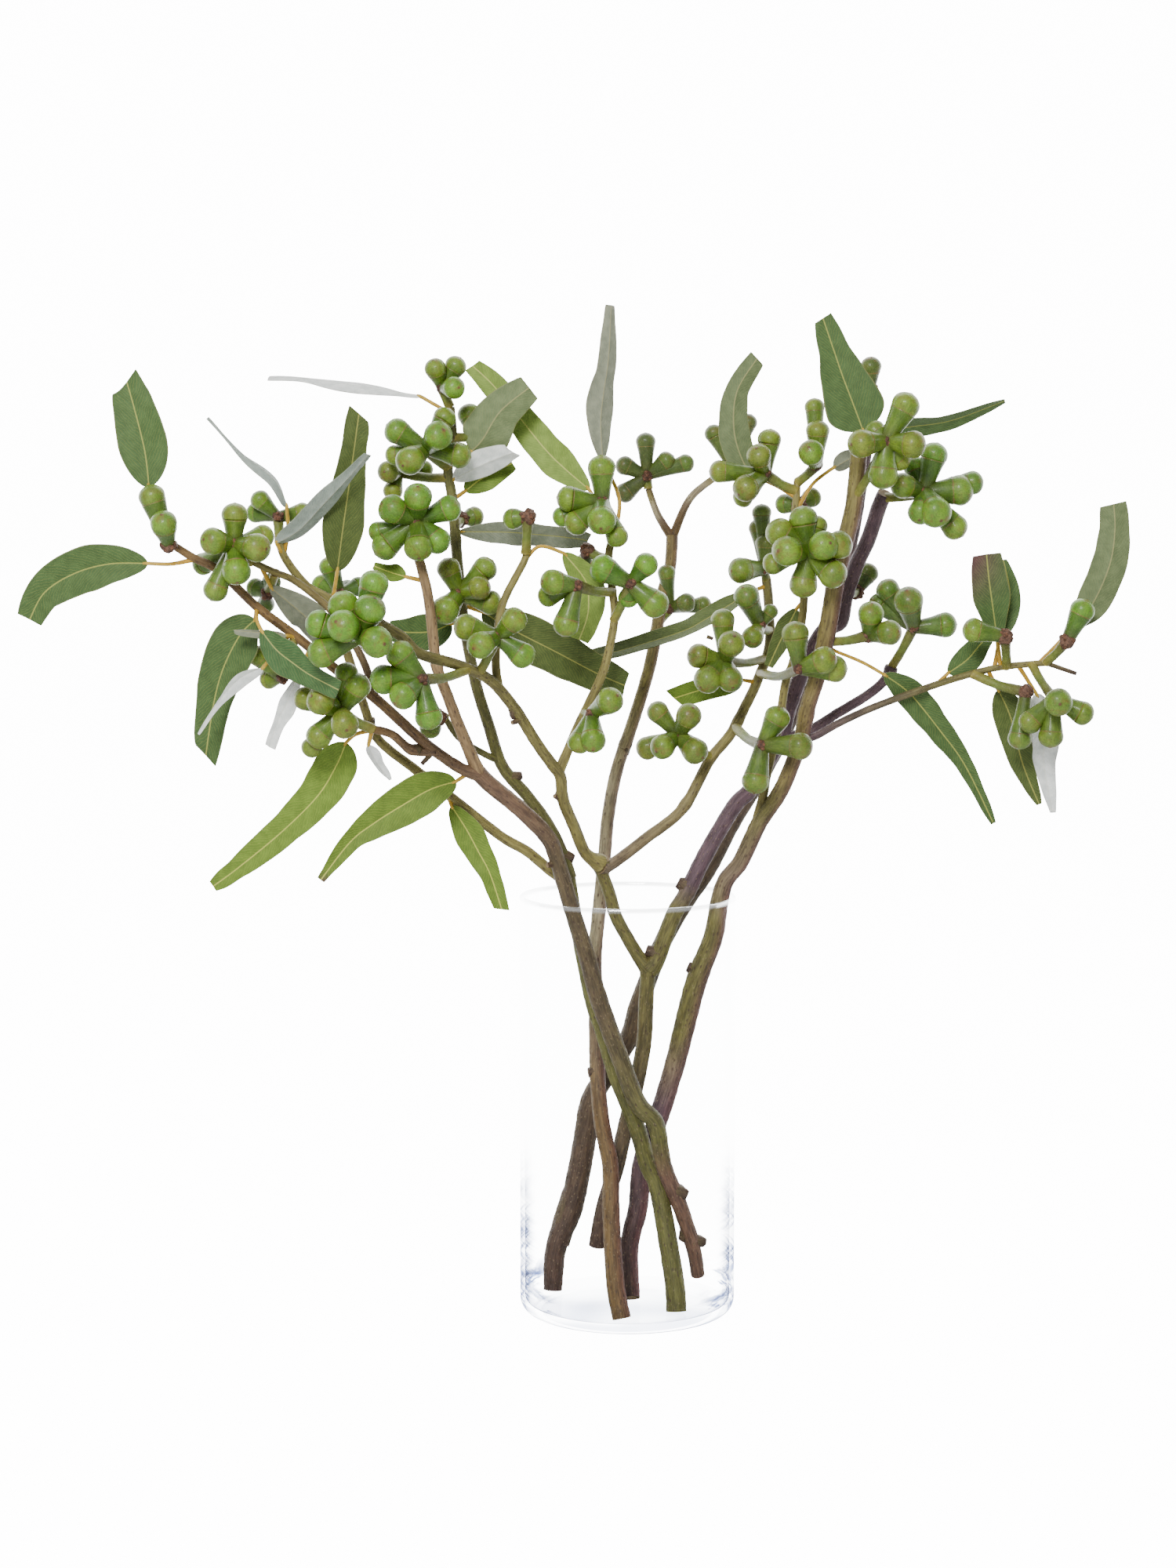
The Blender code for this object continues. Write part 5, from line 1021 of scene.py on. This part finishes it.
def nut_finish():
    """Gum nut skin: streaked green with a brown blush, specks and pale yellow patches painted as
    highlights, a waxy satin.
    """
    net = new_net("gum_nut_skin")
    tint, blush, place = net.attributes()
    mottle = net.cloud(place, 0.16)
    fine = net.cloud(place, 2.4)
    streaks = net.cloud(place, (1.5, 1.5, 0.35))
    specks = net.cells(place, 0.55).between(0.24, 0.1)
    rust = net.cloud(place, 0.3).between(0.46, 0.68) * blush
    # Painted highlight: pale yellow patches scattered over the skin.
    painted_glints = net.cloud(place, 1.3).between(0.66, 0.74)
    colour = net.shaded(tint, mottle.between(0.3, 0.7), (0.72, 0.78, 0.74), (1.24, 1.2, 1.12))
    colour = net.shaded(colour, streaks.between(0.35, 0.65), (0.84, 0.86, 0.84), (1.12, 1.1, 1.08))
    colour = net.mixed(rust * 0.75, colour, NUT_RUST)
    colour = net.mixed(specks * 0.5, colour, NUT_SPECK)
    colour = net.mixed(painted_glints * 0.35, colour, NUT_GLINT)
    surface = {"Base Color": colour, "Roughness": fine * 0.25 + 0.4, "Specular IOR Level": 0.38,
               "Coat Weight": 0.14, "Coat Roughness": 0.07}
    return net.finish(surface, fine * 0.5 + (specks * -0.6 + streaks * 0.7), 0.4, 0.0004)


def plain_finish(name, roughness, scale, low, high):
    """The stored tint with cloudy light and dark, for stalks, hubs, rims and cut wood."""
    net = new_net(name)
    tint, _, place = net.attributes()
    mottle = net.cloud(place, scale)
    colour = net.shaded(tint, mottle.between(0.3, 0.7), (low,) * 3, (high,) * 3)
    surface = {"Base Color": colour, "Roughness": mottle * 0.2 + (roughness - 0.1),
               "Specular IOR Level": 0.35}
    return net.finish(surface, net.cloud(place, scale * 3.0), 0.5, 0.0005)


def glass_finish():
    """Clear thin glass: light passes straight through, grey streaks and dark corner marks near the foot
    painted in as shade, a bright rim.
    """
    net = new_net("clear_glass")
    net.tree.nodes.remove(net.tree.nodes["Principled BSDF"])
    place = net.add("ShaderNodeTexCoord").outputs["Object"]
    height = net.parts(place)[2]
    ripples = net.add("ShaderNodeBump", {"Height": net.cloud(place, 14.0, 1.0), "Strength": 0.08,
                                         "Distance": 0.002})
    edge = Signal(net, net.add("ShaderNodeLayerWeight", {"Blend": 0.5}).outputs["Facing"])
    # Painted shade: near the foot, at grazing angles, the glass is tinted grey-blue in streaks and in dark
    # marks just above the inner floor.
    low = height.between(0.085, 0.03)
    streaks = net.cloud(place, (9.0, 9.0, 380.0), 2.0).between(0.44, 0.6)
    corner_shade_marks = net.cloud(place, (60.0, 60.0, 260.0), 2.0).between(0.48, 0.56)
    corner_shade_marks = corner_shade_marks * height.between(0.022, 0.01) * height.between(0.0055, 0.008)
    corner_shade_marks = corner_shade_marks * edge.between(0.25, 0.5)
    depth = edge.between(0.5, 0.85) * low * (streaks * 0.85 + 0.15)
    tint = net.mixed(depth.maths("MAXIMUM", corner_shade_marks), GLASS_CLEAR, GLASS_EDGE_SHADE)
    clear = net.add("ShaderNodeBsdfTransparent", {"Color": tint})
    gloss = net.add("ShaderNodeBsdfGlossy", {"Color": (0.95, 0.97, 0.98, 1.0), "Roughness": 0.03,
                                             "Normal": ripples.outputs["Normal"]})
    rim = height.between(0.1972, 0.1988) * RIM_SHINE
    gleam = edge.between(0.5, 1.0) * (low * GLASS_SHINE + 0.03)
    mix = net.add("ShaderNodeMixShader", {0: gleam.maths("MAXIMUM", rim), 1: clear.outputs[0],
                                          2: gloss.outputs[0]})
    net.feed(net.tree.nodes["Material Output"], "Surface", mix.outputs[0])
    return net.owner


def arc(x, z, radius, start, end, steps):
    """Points (x, z) along an arc, with its angles in degrees."""
    angles = [math.radians(start + (end - start) * step / steps) for step in range(steps + 1)]
    return [(x + radius * math.cos(angle), z + radius * math.sin(angle)) for angle in angles]


def make_vase():
    """The cylinder vase, turned from its profile with a rounded rim and a thick floor."""
    outer = VASE_DIAMETER / 2
    inner = outer - VASE_WALL
    lip = VASE_WALL / 2
    profile = [(0.0, 1.2), (outer * 0.55, 0.9), (outer - VASE_CORNER - 3.0, 0.0)]
    profile += arc(outer - VASE_CORNER, VASE_CORNER, VASE_CORNER, -90, 0, 8)
    profile += arc(outer - lip, VASE_HEIGHT - lip, lip, 0, 180, 8)
    profile += arc(inner - INNER_CORNER, VASE_FLOOR + INNER_CORNER, INNER_CORNER, 0, -90, 6)
    profile.append((0.0, VASE_FLOOR))
    mesh = bpy.data.meshes.new("glass_vase")
    work = bmesh.new()
    spots = [work.verts.new((x * MM, 0.0, z * MM)) for x, z in profile]
    edges = [work.edges.new(pair) for pair in zip(spots, spots[1:])]
    bmesh.ops.spin(work, geom=spots + edges, cent=(0, 0, 0), axis=(0, 0, 1),
                   angle=math.radians(360.0), steps=VASE_SEGMENTS)
    bmesh.ops.remove_doubles(work, verts=work.verts, dist=0.000001)
    bmesh.ops.recalc_face_normals(work, faces=work.faces)
    work.to_mesh(mesh)
    work.free()
    mesh.shade_smooth()
    mesh.materials.append(glass_finish())
    return link("glass_vase", mesh)


def backlight(net, low, shine, high):
    """Brightness that is high to the eye, lower in reflections and lowest as a light."""
    path = net.add("ShaderNodeLightPath")
    direct = Signal(net, path.outputs["Is Camera Ray"]) * (high - low) + low
    return direct.maths("MAXIMUM", Signal(net, path.outputs["Is Glossy Ray"]) * shine)


def make_stage():
    """A pale floor that curves up into a glowing backdrop."""
    net = new_net("studio_paper")
    place = net.add("ShaderNodeTexCoord").outputs["Object"]
    shine = net.parts(place)[1].between(0.2, 0.9) * BACKDROP_SHINE
    surface = {"Base Color": (0.9, 0.9, 0.9, 1.0), "Roughness": 0.8,
               "Emission Color": (1.0, 1.0, 1.0, 1.0),
               "Emission Strength": backlight(net, 0.1, shine, BACKDROP_GLOW)}
    paper = net.finish(surface, net.cloud(place, 300.0), 0.05, 0.0005)
    profile = [(-4.0, 0.0), *arc(1.2, 0.8, 0.8, -90, 0, 12), (2.0, 5.0)]
    points = [(x, y, z) for y, z in profile for x in (-5.0, 5.0)]
    faces = [(2 * n, 2 * n + 1, 2 * n + 3, 2 * n + 2) for n in range(len(profile) - 1)]
    mesh = bpy.data.meshes.new("studio_floor")
    mesh.from_pydata(points, [], faces)
    mesh.shade_smooth()
    mesh.materials.append(paper)
    link("studio_floor", mesh)


def add_lamp(name, spot, target, size, power, colour):
    data = bpy.data.lights.new(name, "AREA")
    data.shape = "RECTANGLE"
    data.size, data.size_y = size
    data.energy = power
    data.color = colour
    item = link(name, data)
    item.location = spot
    item.rotation_euler = (Vector(target) - Vector(spot)).to_track_quat("-Z", "Y").to_euler()


def make_camera():
    data = bpy.data.cameras.new("camera")
    data.sensor_width = 36.0
    data.lens = 73.44
    data.clip_start = 0.01
    camera = link("camera", data)
    camera.location = EYE * MM
    camera.rotation_euler = (math.radians(90.0 - CAMERA_DROP), 0.0, 0.0)
    bpy.context.scene.camera = camera


FINISHES = {
    "bark": wood_finish(),
    "cut_wood": plain_finish("cut_wood", 0.75, 0.8, 0.7, 1.2),
    "stalk": plain_finish("stalk", 0.5, 0.35, 0.85, 1.15),
    "hub": plain_finish("hub", 0.7, 0.9, 0.5, 1.5),
    "leaf_rim": plain_finish("leaf_rim", 0.6, 0.3, 0.9, 1.1),
    "nut": nut_finish(),
}
for look, (_, vein, vein_share, roughness, gloss) in LOOKS.items():
    FINISHES[look] = leaf_finish("leaf_" + look, vein, vein_share, roughness, gloss)

hand_in(make_vase(), "glass", "vase")
for name in WOOD:
    hand_in(make_wood(name), SLOTS[name], name)
    blades = Shape()
    for index, spec in enumerate(LEAVES):
        if spec[0][0] == name[-1]:
            add_leaf(blades, index, spec)
    if blades.points:
        hand_in(blades.build("leaves_" + name[-1]), SLOTS[name], name)
for number, spec in enumerate(UMBELS, start=1):
    hand_in(make_umbel(number, spec), "gum_nuts", f"gum_nuts_{number:02d}")

make_stage()
make_camera()
add_lamp("key", (-0.35, -1.7, 1.25), (0.0, 0.0, 0.28), (0.6, 0.6), KEY_POWER, (1.0, 0.99, 0.97))
for name, x in (("left", -1.5), ("right", 1.5)):
    add_lamp(name, (x, 0.2, 0.7), (0.0, 0.0, 0.28), (0.8, 1.4), SIDE_POWER, (0.98, 0.99, 1.0))
add_lamp("top", (0.0, 0.6, 1.9), (0.0, 0.0, 0.3), (1.4, 0.8), TOP_POWER, (1.0, 1.0, 1.0))
world = bpy.data.worlds.new("studio")
sky = Net(world)
glow = sky.tree.nodes["Background"]
sky.feed(glow, "Color", (1.0, 1.0, 1.0, 1.0))
sky.feed(glow, "Strength", backlight(sky, SKY_LIGHT, SKY_SHINE, BACKDROP_GLOW))
bpy.context.scene.world = world
